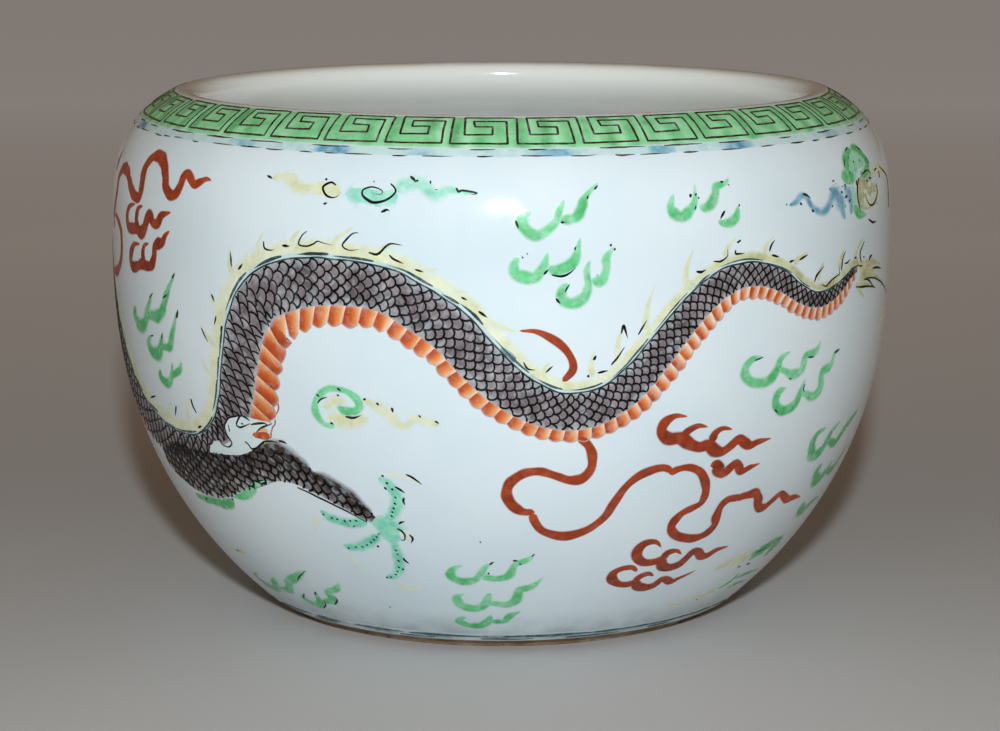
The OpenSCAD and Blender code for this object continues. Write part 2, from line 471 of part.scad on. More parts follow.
// Pale yellow wisps
wisps = [
    [[-33, 83, 0.3], [-30, 83, 0.8], [-28, 82, 0.8], [-25.6, 82.8, 0.9]],
    [[-13, 82.6, 0.9], [-10, 81.8, 0.8], [-7, 82.4, 0.6], [-3.6, 81.8, 0.2]],
    [[-17.8, 51.2, 0.5], [-15.6, 50, 1], [-14, 47.8, 0.8], [-11.6, 48.8, 0.7], [-8.4, 48, 0.3]],
    [[42, 17.6, 0.3], [46, 18.6, 0.9], [50, 16.6, 1], [53, 16.4, 0.4]],
    [[41.6, 78, 0.3], [44.6, 78.8, 0.7], [47.4, 76.8, 0.9], [49.4, 76.1, 1], [51.8, 77.8, 1.1],
        [55, 78.6, 1.2], [57.8, 80.2, 1], [60.4, 82.8, 0.9], [63.4, 83.2, 0.7], [65, 81.6, 0.2]],
    [[57.6, 75.2, 0.7], [60.4, 74.6, 0.9], [64, 74.2, 0.9], [68.6, 75.2, 0.9], [70, 77.6, 0.9],
        [68, 79.2, 0.8], [63, 79.2, 0.7], [61.6, 77, 0.5]]
];

// One key-fret unit: shares of a unit's step round the bowl and of the band's height
fret_unit = [
    [0, 0.93], [0, 0.5], [0, 0.1], [0.3, 0.1], [0.58, 0.1], [0.86, 0.1], [0.85, 0.45],
    [0.84, 0.79], [0.58, 0.79], [0.33, 0.79], [0.34, 0.6], [0.63, 0.6], [0.63, 0.36], [0.41, 0.36],
    [0.19, 0.36], [0.18, 0.64], [0.17, 0.93], [0.43, 0.93], [0.68, 0.93], [0.94, 0.93]
];
fret_start = -7.2;
fret_step = 360 / fret_units;
band_h = band_high - band_low;
function fret_path(i) = [for (p = fret_unit)
    [fret_start + (i + p[0]) * fret_step, band_low + p[1] * band_h, fret_line_w / 2]];

module porcelain_body() {
    color("bisque")
        rotate_extrude()
            polygon(concat(
                [[0, foot_recess], [foot_in_r, foot_recess], [foot_in_r, foot_bevel],
                    [foot_in_r + foot_bevel, 0], [base_r - foot_bevel, 0], [base_r, foot_bevel]],
                clay_path));
}
module outer_glaze() {
    color("aliceblue")
        rotate_extrude()
            polygon(concat(slice(glazed_path, 0, crest_i), reversed(slice(clay_path, 0, crest_i))));
}
module inner_glaze() {
    color("ghostwhite")
        rotate_extrude()
            polygon(concat(slice(glazed_path, crest_i, last_i),
                reversed(slice(clay_path, crest_i, last_i))));
}
module base_glaze() {
    color("aliceblue")
        translate([0, 0, foot_recess - glaze_t])
            cylinder(h = glaze_t, r = foot_in_r - base_glaze_gap, $fn = 96);
}
module border_band() {
    color("mediumseagreen") enamel_ring(band_low, band_high);
}
module border_fret() {
    color("#3a2a20")
        enamel([for (i = [0:fret_units - 1]) stroke(fret_path(i), enamel_t + enamel_seat)]);
}
module shoulder_line() {
    top = band_low - shoulder_line_gap / sheet_mm;
    color("lightblue") enamel_ring(top - shoulder_line_w / sheet_mm, top);
}
module foot_line() {
    color("cadetblue") enamel_ring(foot_line_low, foot_line_low + foot_line_w / sheet_mm);
}
module dragon_body() {
    rings = ceil(back_length / body_ring_gap);
    path = [for (i = [0:rings])
        let (s = back_length * i / rings)
        back_at(s, 0, body_width(s))];
    color("#6e6670") enamel([strip(path, 2)]);
}
module dragon_belly() {
    plates = floor(back_length / belly_pitch);
    pitch = back_length / plates;
    starts = [for (i = [0:plates - 1]) if (!behind_shoulder(pitch * (i + 0.5))) pitch * i];
    function edge(s) = back_at(s, body_width(s) + edge_clear, body_width(s) + belly_width(s));
    color("#d28a4e")
        enamel([for (s = starts) strip([edge(s + belly_gap), edge(s + pitch)], 1)]);
}
module dragon_fin() {
    spikes = floor(back_length / spike_pitch);
    pitch = back_length / spikes;
    // Each spike: share of the pitch, then how far the edge stands out there
    spike = [[0, 0], [0.1, 1], [0.4, 0.1], [0.7, 0]];
    path = [for (i = [0:spikes - 1]) for (p = spike)
        back_at((i + p[0]) * pitch, -fin_gap - fin_w - spike_h * p[1], -fin_gap)];
    color("#d6d6a8") {
        enamel(concat([strip(path, 1)],
            [for (t = tail_tuft) brushed(smooth(t, 2), fin_w)]));
    }
}
module dragon_legs() {
    color("#6e6670")
        enamel([for (leg = [front_leg, far_leg])
            strip([for (p = smooth(leg, 2)) [p[0], p[1], -p[2] * leg_w / 2, p[2] * leg_w / 2]], 2)]);
}
module dragon_feet() {
    color("mediumaquamarine")
        enamel(concat(
            [for (at = feet_at) brushed(moved(palm, at), toe_w)],
            [for (at = feet_at) for (t = toes) brushed(moved(t, at), toe_w)]));
}
module dragon_nails() {
    color("#e2dfae")
        enamel([for (at = feet_at) for (t = nails) brushed(moved(t, at), nail_w)]);
}
module dragon_head() {
    color("#6e6670")
        enamel([for (t = [skull, jaw])
            strip([for (p = smooth(t, 2)) [p[0], p[1], -p[2], p[2]]], 2)]);
}
module dragon_horns() {
    color("#d6d6a8") enamel([for (t = horns) brushed(smooth(t, 2), fin_w)]);
}
module flame_ribbons() {
    color("#a0412c") enamel([for (t = ribbons) brushed(t, ribbon_w)]);
}
module flame_clouds() {
    color("#a0412c")
        enamel(concat(
            [for (t = flames) brushed(t, flame_w)],
            [for (at = flames_at) for (t = flame_shape) brushed(moved(t, at), flame_w)]));
}
module green_clouds() {
    color("#62b27c")
        enamel(concat(
            [for (t = clouds) brushed(t, cloud_w)],
            [for (at = clouds_at) for (t = cloud_shape) brushed(moved(t, at), cloud_w)]));
}
module yellow_wisps() {
    color("#cfcf98") enamel([for (t = wisps) brushed(smooth(t, 2), wisp_w)]);
}

porcelain_body();
outer_glaze();
inner_glaze();
base_glaze();
border_band();
border_fret();
shoulder_line();
foot_line();
dragon_body();
dragon_belly();
dragon_fin();
dragon_legs();
dragon_feet();
dragon_nails();
dragon_head();
dragon_horns();
flame_ribbons();
flame_clouds();
green_clouds();
yellow_wisps();
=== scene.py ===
import math

import bpy
import numpy as np
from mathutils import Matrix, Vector


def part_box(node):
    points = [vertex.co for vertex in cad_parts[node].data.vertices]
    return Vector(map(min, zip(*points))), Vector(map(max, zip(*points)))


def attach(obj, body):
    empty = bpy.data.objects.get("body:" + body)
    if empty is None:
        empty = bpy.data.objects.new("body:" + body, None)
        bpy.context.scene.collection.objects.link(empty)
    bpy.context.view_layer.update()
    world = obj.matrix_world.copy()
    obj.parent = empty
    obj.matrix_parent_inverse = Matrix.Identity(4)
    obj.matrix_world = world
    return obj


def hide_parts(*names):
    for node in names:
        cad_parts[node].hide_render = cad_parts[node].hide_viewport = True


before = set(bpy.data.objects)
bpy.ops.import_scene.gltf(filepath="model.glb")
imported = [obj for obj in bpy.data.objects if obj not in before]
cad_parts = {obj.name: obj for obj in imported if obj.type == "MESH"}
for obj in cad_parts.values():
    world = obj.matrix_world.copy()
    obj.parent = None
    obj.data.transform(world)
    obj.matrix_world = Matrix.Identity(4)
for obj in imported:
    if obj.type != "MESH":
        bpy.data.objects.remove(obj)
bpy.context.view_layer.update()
rng = np.random.default_rng(7)
MM = 0.001

# The bowl's section
glaze_low, glaze_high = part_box("outer_glaze")
HEIGHT = glaze_high.z / MM
BELLY_R = glaze_high.x / MM
BARE_FOOT_H = glaze_low.z / MM
FLOOR_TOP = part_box("inner_glaze")[0].z / MM
BASE_GLAZE_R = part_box("base_glaze")[1].x / MM
FOOT_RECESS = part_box("base_glaze")[1].z / MM
BELLY_Z = 59
MOUTH_R = 52
BASE_R = 38
WALL_T = 3.2
LIP_ROLL = 4.8
LIP_DEEP = 9.6
# Guide points of the lip's roll from its crest: shares of the roll inwards and of its depth
LIP_GUIDE = [(0, 0), (-1, 0), (-0.83, -0.62), (0.8, -1)]
GLAZE_T = 0.3
FLOOR_RUN = 7
FOOT_RING_W = 4.4
FOOT_BEVEL = 0.5
LOWER_POWER = 2.45
LOWER_ROUND = 0.9
UPPER_POWER = 3.8
UPPER_ROUND = 0.8
LIP_SHARE = 0.994
LOWER_ROWS = 64
UPPER_ROWS = 40
CREST_ROWS = 6
NOSE_ROWS = 24
FLOOR_ROWS = 14
DISC_ROWS = 12
SEGMENTS = 256


def unit(vectors):
    return vectors / np.maximum(np.linalg.norm(vectors, axis=-1, keepdims=True), 1e-12)


def outer_radius(z):
    low = np.clip((BELLY_Z - z) / BELLY_Z, 0, 1)
    high = np.clip((z - BELLY_Z) / (HEIGHT - BELLY_Z), 0, 1)
    below = BASE_R + (BELLY_R - BASE_R) * (1 - low ** LOWER_POWER) ** LOWER_ROUND
    above = MOUTH_R + (BELLY_R - MOUTH_R) * (1 - high ** UPPER_POWER) ** UPPER_ROUND
    return np.where(z < BELLY_Z, below, above)


def section_normals(path):
    along = np.gradient(path, axis=0)
    return unit(np.column_stack([along[:, 1], -along[:, 0]]))


low_z = np.linspace(0, BELLY_Z, LOWER_ROWS + 1)
high_turn = np.linspace(0, math.pi / 2, UPPER_ROWS + 1)[1:]
high_z = BELLY_Z + (HEIGHT - BELLY_Z) * LIP_SHARE * np.sin(high_turn)
outer_z = np.concatenate([low_z, high_z])
outer_path = np.column_stack([outer_radius(outer_z), outer_z])
outer_normals = section_normals(outer_path)
lip_turn = math.atan2(outer_normals[-1, 1], outer_normals[-1, 0])
lip_centre = outer_path[-1] - WALL_T / 2 * outer_normals[-1]
crest_turn = np.linspace(lip_turn, math.pi / 2, CREST_ROWS + 1)[1:]
crest_path = lip_centre + WALL_T / 2 * np.column_stack([np.cos(crest_turn), np.sin(crest_turn)])
lip_points = crest_path[-1] + np.array(LIP_GUIDE) * [LIP_ROLL, LIP_DEEP]
roll = np.linspace(0, 1, NOSE_ROWS + 1)[1:, None]
nose_path = ((1 - roll) ** 3 * lip_points[0] + 3 * roll * (1 - roll) ** 2 * lip_points[1]
             + 3 * roll ** 2 * (1 - roll) * lip_points[2] + roll ** 3 * lip_points[3])
inner_path = (outer_path - WALL_T * outer_normals)[::-1]
inner_high = crest_path[-1, 1] - LIP_DEEP - WALL_T / 2
inner_path = inner_path[(inner_path[:, 1] > FLOOR_TOP + FLOOR_RUN) & (inner_path[:, 1] < inner_high)]
inner_slope = inner_path[-1] - inner_path[-2]
floor_drop = FLOOR_TOP - inner_path[-1, 1]
floor_corner = np.array([inner_path[-1, 0] + inner_slope[0] / inner_slope[1] * floor_drop, FLOOR_TOP])
floor_turn = np.linspace(0, 1, FLOOR_ROWS + 1)[1:, None]
floor_path = ((1 - floor_turn) ** 2 * inner_path[-1] + 2 * floor_turn * (1 - floor_turn) * floor_corner
              + floor_turn ** 2 * (floor_corner - [FLOOR_RUN, 0]))
floor_flat = np.linspace(floor_path[-1, 0], 0, DISC_ROWS)[1:]
floor_disc = np.column_stack([floor_flat, np.full(len(floor_flat), FLOOR_TOP)])
foot_edge = np.array([[float(outer_radius(np.array(BARE_FOOT_H))), BARE_FOOT_H]])
glazed_path = np.concatenate([foot_edge, outer_path[outer_path[:, 1] > BARE_FOOT_H + 0.1], crest_path,
                              nose_path, inner_path, floor_path, floor_disc])
under_glaze = glazed_path - GLAZE_T * section_normals(glazed_path)
under_glaze[-1, 0] = 0

# The sheet that the painting lies on: radius, height and normal against millimetres up the wall
wall_path = np.concatenate([outer_path, crest_path])
wall_normals = section_normals(wall_path)
wall_run = np.concatenate([[0], np.cumsum(np.linalg.norm(np.diff(wall_path, axis=0), axis=1))])


def wall_radius(s):
    return np.interp(s, wall_run, wall_path[:, 0])


def degree_mm(s):
    return wall_radius(s) * math.pi / 180


def wall(u, s, lift):
    """Points on the wall, lifted off the glaze, and the wall's outward normals there."""
    turn = np.radians(u)
    normal_r = np.interp(s, wall_run, wall_normals[:, 0])
    normal_z = np.interp(s, wall_run, wall_normals[:, 1])
    r = wall_radius(s) + lift * normal_r
    z = np.interp(s, wall_run, wall_path[:, 1]) + lift * normal_z
    spots = np.stack([r * np.sin(turn), -r * np.cos(turn), z], axis=-1)
    out = np.stack([normal_r * np.sin(turn), -normal_r * np.cos(turn), normal_z], axis=-1)
    return spots, unit(out)


# Curves on the sheet
def spline(a, b, c, d, t):
    return (2 * b + (c - a) * t + (2 * a - 5 * b + 4 * c - d) * t ** 2
            + (3 * b - a - 3 * c + d) * t ** 3) / 2


def gaps(path):
    """Lengths in millimetres between the points of a path on the sheet."""
    middle = (path[1:, 1] + path[:-1, 1]) / 2
    return np.hypot(np.diff(path[:, 0]) * degree_mm(middle), np.diff(path[:, 1]))


def travel(path):
    return np.concatenate([[0], np.cumsum(gaps(path))])


def smooth(path, step, straight=False):
    """Points about a step apart on a smooth curve, or a straight-sided one, through a path."""
    p = np.array(path, float)
    count = np.maximum(2, np.ceil(gaps(p) / step).astype(int))
    ends = np.vstack([2 * p[0] - p[1], p, 2 * p[-1] - p[-2]])
    pieces = []
    for i, n in enumerate(count):
        t = (np.arange(n) / n)[:, None]
        if straight:
            pieces.append(p[i] + (p[i + 1] - p[i]) * t)
        else:
            pieces.append(spline(ends[i], ends[i + 1], ends[i + 2], ends[i + 3], t))
    return np.vstack(pieces + [p[-1:]])


def left_of(u, s):
    """Steps of the sheet's two coordinates for one millimetre to the left of a path's travel."""
    k = degree_mm(s)
    along = unit(np.column_stack([np.gradient(u) * k, np.gradient(s)]))
    return -along[:, 1] / k, along[:, 0]


def wave(x, shortest=2.0, longest=9.0):
    """A smooth random wave along x, about -1 to 1."""
    lengths = rng.uniform(shortest, longest, 3)
    phases = rng.uniform(0, 2 * math.pi, 3)
    return sum(np.sin(2 * math.pi * x / a + b) for a, b in zip(lengths, phases)) / 2


def ripple(fewest, most):
    """A random wave right round the bowl that meets itself, about -1 to 1."""
    turn = np.linspace(-math.pi, math.pi, RING_STEPS + 1)
    counts = rng.integers(fewest, most, 4)
    phases = rng.uniform(0, 2 * math.pi, 4)
    return sum(np.sin(n * turn + p) for n, p in zip(counts, phases)) / 2


class Brush:
    """How a stroke lies across its width: its soft rim, its thickness and how far it catches light."""

    def __init__(self, lift, soft, rim_cover, rim_lift, relief, wobble=0.03, vary=0.1):
        self.across = np.array([-1, soft - 1, 0, 1 - soft, 1])
        self.cover = np.array([rim_cover, 1, 1, 1, rim_cover])
        self.lift = np.array([rim_lift, lift, lift, lift, rim_lift])
        self.relief = relief
        self.wobble = wobble
        self.vary = vary


WASH = Brush(lift=0.012, soft=0.75, rim_cover=0, rim_lift=0.002, relief=0.05, wobble=0.1, vary=0.1)
ENAMEL = Brush(lift=0.045, soft=0.24, rim_cover=0.2, rim_lift=-0.002, relief=0.45)
LOOSE = Brush(lift=0.035, soft=0.48, rim_cover=0, rim_lift=0.002, relief=0.25)
SOFT = Brush(lift=0.03, soft=0.62, rim_cover=0, rim_lift=0.002, relief=0.15)
LINE = Brush(lift=0.075, soft=0.3, rim_cover=1, rim_lift=-0.02, relief=0.2, wobble=0.02)
RING_STEPS = 720
RING_ROWS = 15
LEVELS = 9
LEVEL_STEP = 0.0015
SUNK = -0.03
# A stroke is cut along its length at a share of its width, between the finest and the coarsest step
CUT_SHARE = 0.7
CUT_FINEST = 0.16
CUT_COARSEST = 0.45
THINNEST = 0.03
# A pointed stroke is fullest here along it, and keeps at least this share of its width
FULLEST_AT = 0.4
POINT_KEEPS = 0.15
# Fewest and most waves of a ring's edge
EDGE_WAVES = (5, 60)


def sunk_edges(count, lift):
    """Shares across a wash and its lifts there, with a second edge at each side that is sunk in the glaze."""
    share = np.linspace(0, 1, count)
    return np.concatenate([[0], share, [1]]), np.array([SUNK] + [lift] * count + [SUNK])


class Paint:
    """Strokes of one colour on the wall, gathered into one mesh of closed strips."""

    def __init__(self):
        self.points = []
        self.normals = []
        self.cover = []
        self.tone = []
        self.faces = []
        self.count = 0
        self.strokes = 0

    def strip(self, u, s, lift, cover, tone, relief):
        """Rings of points across a strip, whose points run to the left of its travel."""
        shape = np.broadcast_shapes(u.shape, s.shape)
        u = np.broadcast_to(u, shape)
        s = np.broadcast_to(s, shape)
        level = (self.strokes % LEVELS) * LEVEL_STEP
        self.strokes += 1
        spots, out = wall(u, s, np.broadcast_to(lift, shape) + level)
        raised = unit(np.cross(np.gradient(spots, axis=0), np.gradient(spots, axis=1)))
        self.points.append(spots.reshape(-1, 3))
        self.normals.append(unit(out * (1 - relief) + raised * relief).reshape(-1, 3))
        self.cover.append(np.broadcast_to(cover, shape).ravel())
        self.tone.append(np.broadcast_to(tone, shape).ravel())
        index = self.count + np.arange(shape[0] * shape[1]).reshape(shape)
        turned = np.roll(index, -1, axis=1)
        quads = np.stack([index[:-1], index[1:], turned[1:], turned[:-1]], axis=-1)
        self.faces += quads.reshape(-1, 4).tolist()
        self.faces.append(index[0].tolist())
        self.faces.append(index[-1][::-1].tolist())
        self.count += index.size

    def stroke(self, path, brush, half=None, tone=0.5, cover=1.0, straight=False, point=0.0, pool=0.0,
               fade=0.0):
        """One brush stroke, darker by a pool where it is wide, and fading where it is narrow.

        A point may hold its own half width as its third number, and the ends may be drawn to a point.
        """
        full = [p if len(p) > 2 else (p[0], p[1], half) for p in path]
        width = max(p[2] for p in full)
        fine = smooth(full, min(max(CUT_SHARE * width, CUT_FINEST), CUT_COARSEST), straight)
        u, s, reach = fine.T
        run = travel(fine)
        share = run / run[-1]
        swell = np.clip(1 - point * np.abs(2 * share - 2 * FULLEST_AT) ** 1.6, POINT_KEEPS, 1)
        reach = np.maximum(reach * (1 + brush.vary * wave(run)), THINNEST) * swell
        from_end = np.minimum(run, run[-1] - run) / np.maximum(reach, 0.05)
        reach = reach * np.sqrt(np.clip(1 - (1 - np.minimum(from_end, 1)) ** 2, 0.02, 1))
        side_u, side_s = left_of(u, s)
        off = reach[:, None] * brush.across + (brush.wobble * wave(run))[:, None]
        full_share = reach[:, None] / width
        shade = tone + 0.07 * wave(run, 1.5, 7)[:, None] - 0.08 * np.abs(brush.across) ** 2
        shade = shade - pool * (full_share - 0.5)
        self.strip(u[:, None] + off * side_u[:, None], s[:, None] + off * side_s[:, None],
                   brush.lift, brush.cover * cover * (1 - fade + fade * full_share), shade, brush.relief)

    def fill(self, near, far, lift, tone=0.5, cover=1.0):
        """A wash between two edges that have as many points, the far one to the left of their travel."""
        a = np.array(near)[:, None]
        b = np.array(far)[:, None]
        share, height = sunk_edges(5, lift)
        place = a + (b - a) * share[:, None]
        self.strip(place[..., 0], place[..., 1], height, cover, tone, 0.0)

    def ring(self, low, high, lift, soft, tone=0.5, cover=1.0, ragged=0.1):
        """A band right round the bowl, with uneven edges that fade over a share of its width."""
        u = np.linspace(-180, 180, RING_STEPS + 1)
        share = np.linspace(0, 1, RING_ROWS)
        edge = np.minimum(share, 1 - share) / soft
        low_edge = (low + ragged * ripple(*EDGE_WAVES))[:, None]
        high_edge = (high + ragged * ripple(*EDGE_WAVES))[:, None]
        s = low_edge * (1 - share) + high_edge * share
        self.strip(u[:, None], s, lift * np.clip(edge, 0.05, 1), np.clip(edge, 0, 1) * cover, tone, 0.1)

    def piece(self, name, material, slot, *nodes):
        values = {"cover": np.concatenate(self.cover), "tone": np.concatenate(self.tone)}
        make_piece(name, np.concatenate(self.points), self.faces, material, nodes,
                   np.concatenate(self.normals), values)


def make_piece(name, points, faces, material, nodes=(), normals=None, values=None):
    mesh = bpy.data.meshes.new(name)
    mesh.from_pydata((np.asarray(points) * MM).tolist(), [], faces)
    mesh.polygons.foreach_set("use_smooth", np.ones(len(mesh.polygons), bool))
    for key, numbers in (values or {}).items():
        attribute = mesh.attributes.new(key, "FLOAT", "POINT")
        attribute.data.foreach_set("value", np.asarray(numbers, np.float32))
    if normals is not None:
        mesh.normals_split_custom_set_from_vertices(normals.tolist())
    mesh.materials.append(material)
    piece = bpy.data.objects.new(name, mesh)
    bpy.context.scene.collection.objects.link(piece)
    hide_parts(*nodes)
    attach(piece, "root")


# Materials
def srgb(red, green, blue):
    """Linear colour of a colour given as 0 to 255."""
    shares = [c / 255 for c in (red, green, blue)]
    return [c / 12.92 if c <= 0.04045 else ((c + 0.055) / 1.055) ** 2.4 for c in shares] + [1]


# The colour sockets of a mix node
MIX_A = 6
MIX_B = 7
MIX_RESULT = 2


class Nodes:
    """A new material's node tree, with short calls for the nodes used here."""

    def __init__(self, name):
        self.material = bpy.data.materials.new(name)
        self.material.use_nodes = True
        self.tree = self.material.node_tree
        self.shader = self.tree.nodes["Principled BSDF"]
        self.place = self.tree.nodes.new("ShaderNodeTexCoord").outputs["Object"]

    def link(self, source, target):
        self.tree.links.new(source, target)

    def put(self, socket, value):
        if isinstance(value, bpy.types.NodeSocket):
            self.link(value, socket)
        else:
            socket.default_value = value

    def attribute(self, name):
        node = self.tree.nodes.new("ShaderNodeAttribute")
        node.attribute_name = name
        return node.outputs["Fac"]

    def noise(self, size, detail=3.0, rough=0.55, warp=0.0):
        node = self.tree.nodes.new("ShaderNodeTexNoise")
        node.inputs["Scale"].default_value = 1 / (size * MM)
        node.inputs["Detail"].default_value = detail
        node.inputs["Roughness"].default_value = rough
        node.inputs["Distortion"].default_value = warp
        self.link(self.place, node.inputs["Vector"])
        return node.outputs["Fac"]

    def math(self, operation, a, b, clamp=False):
        node = self.tree.nodes.new("ShaderNodeMath")
        node.operation = operation
        node.use_clamp = clamp
        self.put(node.inputs[0], a)
        self.put(node.inputs[1], b)
        return node.outputs[0]

    def spread(self, value, low, high, to_low=0.0, to_high=1.0):
        node = self.tree.nodes.new("ShaderNodeMapRange")
        for socket, number in zip(list(node.inputs)[:5], (value, low, high, to_low, to_high)):
            self.put(socket, number)
        return node.outputs[0]

    def mix(self, factor, a, b):
        node = self.tree.nodes.new("ShaderNodeMix")
        node.data_type = "RGBA"
        self.put(node.inputs[0], factor)
        self.put(node.inputs[MIX_A], a)
        self.put(node.inputs[MIX_B], b)
        return node.outputs[MIX_RESULT]

    def ramp(self, value, stops):
        node = self.tree.nodes.new("ShaderNodeValToRGB")
        band = node.color_ramp.elements
        while len(band) < len(stops):
            band.new(1.0)
        for element, (position, colour) in zip(band, stops):
            element.position = position
            element.color = srgb(*colour)
        self.link(value, node.inputs["Fac"])
        return node.outputs["Color"]

    def bump(self, height, depth, strength=0.3):
        node = self.tree.nodes.new("ShaderNodeBump")
        node.inputs["Strength"].default_value = strength
        node.inputs["Distance"].default_value = depth * MM
        self.link(height, node.inputs["Height"])
        self.link(node.outputs["Normal"], self.shader.inputs["Normal"])

    def porcelain(self):
        """The glazed white, with faint blue clouding."""
        return self.ramp(self.noise(26, 4), [(0.3, (207, 223, 231)), (0.7, (219, 231, 237))])


# The inside of the bowl is painted a brighter, less blue white than the outside: painted light, standing in
# for light the inside lacks
INSIDE_PAINTED_LIGHT = (236, 240, 238)
LIP_STAIN = (200, 182, 154)
FOOT_STAIN = (154, 168, 169)
BISCUIT_SPECK = (92, 68, 48)


def glaze_material():
    nodes = Nodes("clear_glaze_over_porcelain")
    white = nodes.porcelain()
    lip = nodes.math("MULTIPLY", nodes.attribute("lip"), nodes.spread(nodes.noise(12, 4), 0.2, 0.65), True)
    # Painted light: the inside is mixed towards a brighter white
    white = nodes.mix(nodes.attribute("inside"), white, srgb(*INSIDE_PAINTED_LIGHT))
    worn = nodes.mix(lip, white, srgb(*LIP_STAIN))
    foot = nodes.math("MULTIPLY", nodes.attribute("foot"), nodes.spread(nodes.noise(5, 4), 0.3, 0.65), True)
    nodes.link(nodes.mix(foot, worn, srgb(*FOOT_STAIN)), nodes.shader.inputs["Base Color"])
    nodes.link(nodes.spread(nodes.noise(3, 3), 0.3, 0.7, 0.07, 0.13), nodes.shader.inputs["Roughness"])
    nodes.bump(nodes.noise(5, 2), 0.03, 0.15)
    return nodes.material


def biscuit_material():
    nodes = Nodes("bare_biscuit")
    stain = nodes.ramp(
        nodes.noise(4, 5), [(0.3, (106, 82, 58)), (0.5, (152, 126, 98)), (0.7, (184, 162, 134))])
    speck = nodes.spread(nodes.noise(0.7, 2), 0.62, 0.7)
    nodes.link(nodes.mix(speck, stain, srgb(*BISCUIT_SPECK)), nodes.shader.inputs["Base Color"])
    nodes.shader.inputs["Roughness"].default_value = 0.8
    nodes.bump(nodes.noise(0.6, 4), 0.15, 0.6)
    return nodes.material


def enamel_material(name, stops, rough=(0.16, 0.3), blotch=0.5, thin=0.3, grain=2.2, shine=0.5):
    """Enamel over the glaze: its tone runs through the stops, and thin paint lets the white through."""
    nodes = Nodes(name)
    shade = nodes.math("ADD", nodes.attribute("tone"),
                       nodes.spread(nodes.noise(grain, 4, 0.6), 0.25, 0.75, -blotch / 2, blotch / 2), True)
    colour = nodes.ramp(shade, stops)
    veil = nodes.spread(nodes.noise(grain * 0.6, 3), 0.3, 0.7, -thin, thin)
    patchy = nodes.math("MULTIPLY", nodes.attribute("cover"), nodes.math("ADD", veil, 1.0), True)
    nodes.link(nodes.mix(patchy, nodes.porcelain(), colour), nodes.shader.inputs["Base Color"])
    nodes.link(nodes.spread(nodes.noise(1.2, 2), 0.3, 0.7, *rough), nodes.shader.inputs["Roughness"])
    nodes.shader.inputs["Specular IOR Level"].default_value = shine
    nodes.bump(nodes.noise(0.8, 3), 0.02, 0.25)
    return nodes.material


GLAZE = glaze_material()
BISCUIT = biscuit_material()
GREEN = enamel_material(
    "green_enamel", [(0.05, (72, 176, 104)), (0.45, (116, 208, 150)), (0.85, (156, 224, 192))])
BAND_GREEN = enamel_material(
    "border_green", [(0.1, (80, 160, 100)), (0.45, (126, 204, 144)), (0.85, (168, 228, 180))],
    thin=0.1, grain=3)
INK = enamel_material(
    "black_line", [(0.1, (8, 6, 5)), (0.8, (26, 20, 17))], (0.3, 0.45), thin=0.05, shine=0.12)
BROWN_INK = enamel_material("brown_black_line", [(0.1, (32, 22, 16)), (0.8, (74, 54, 38))], thin=0.15)
TEAL_INK = enamel_material("teal_black_line", [(0.1, (26, 36, 38)), (0.8, (62, 98, 104))], thin=0.2)
SCALE = enamel_material(
    "grey_mauve_wash", [(0.1, (66, 56, 58)), (0.5, (118, 109, 113)), (0.9, (160, 152, 158))])
SMOKE = enamel_material("brown_smoke", [(0.1, (34, 26, 22)), (0.8, (70, 58, 52))])
LEG = enamel_material(
    "brown_mauve_wash",
    [(0.1, (40, 32, 30)), (0.4, (84, 73, 71)), (0.7, (124, 114, 116)), (0.95, (168, 160, 164))])
ORANGE = enamel_material(
    "orange_plates",
    [(0.05, (156, 56, 20)), (0.3, (200, 92, 36)), (0.6, (224, 148, 86)), (0.95, (236, 210, 186))],
    blotch=0.2, thin=0.15)
RED = enamel_material(
    "iron_red", [(0.05, (106, 34, 16)), (0.5, (166, 64, 26)), (0.95, (202, 104, 50))], (0.25, 0.4),
    blotch=0.35, thin=0.05, shine=0.3)
YELLOW = enamel_material(
    "pale_yellow", [(0.1, (166, 166, 112)), (0.5, (208, 211, 162)), (0.9, (226, 231, 202))])
GREY_TEAL = enamel_material(
    "grey_teal", [(0.1, (64, 100, 104)), (0.5, (140, 176, 178)), (0.9, (190, 212, 212))])
TURQUOISE = enamel_material(
    "turquoise", [(0.1, (80, 178, 152)), (0.5, (122, 210, 180)), (0.9, (176, 230, 212))])
BLUE = enamel_material("blue", [(0.1, (62, 122, 160)), (0.5, (112, 172, 196)), (0.95, (182, 214, 212))])


# The bowl
def revolve(path, closed=False):
    """Rings of a section turned round the axis, with single points where it meets the axis."""
    turn = np.linspace(0, 2 * math.pi, SEGMENTS, endpoint=False)
    points = []
    rings = []
    for r, z in path:
        start = len(points)
        if r < 1e-6:
            points.append((0, 0, z))
            rings.append([start] * SEGMENTS)
        else:
            points += [(r * math.sin(a), -r * math.cos(a), z) for a in turn]
            rings.append(list(range(start, start + SEGMENTS)))
    faces = []
    for low, high in zip(rings, rings[1:] + (rings[:1] if closed else [])):
        for i in range(SEGMENTS):
            j = (i + 1) % SEGMENTS
            corners = [low[i], low[j], high[j], high[i]]
            corners = list(dict.fromkeys(corners))
            if len(corners) > 2:
                faces.append(corners)
    return np.array(points), faces


def near_height(points, low, high):
    """1 at a height of low, falling to 0 at high."""
    return np.clip((points[:, 2] - high) / (low - high), 0, 1)
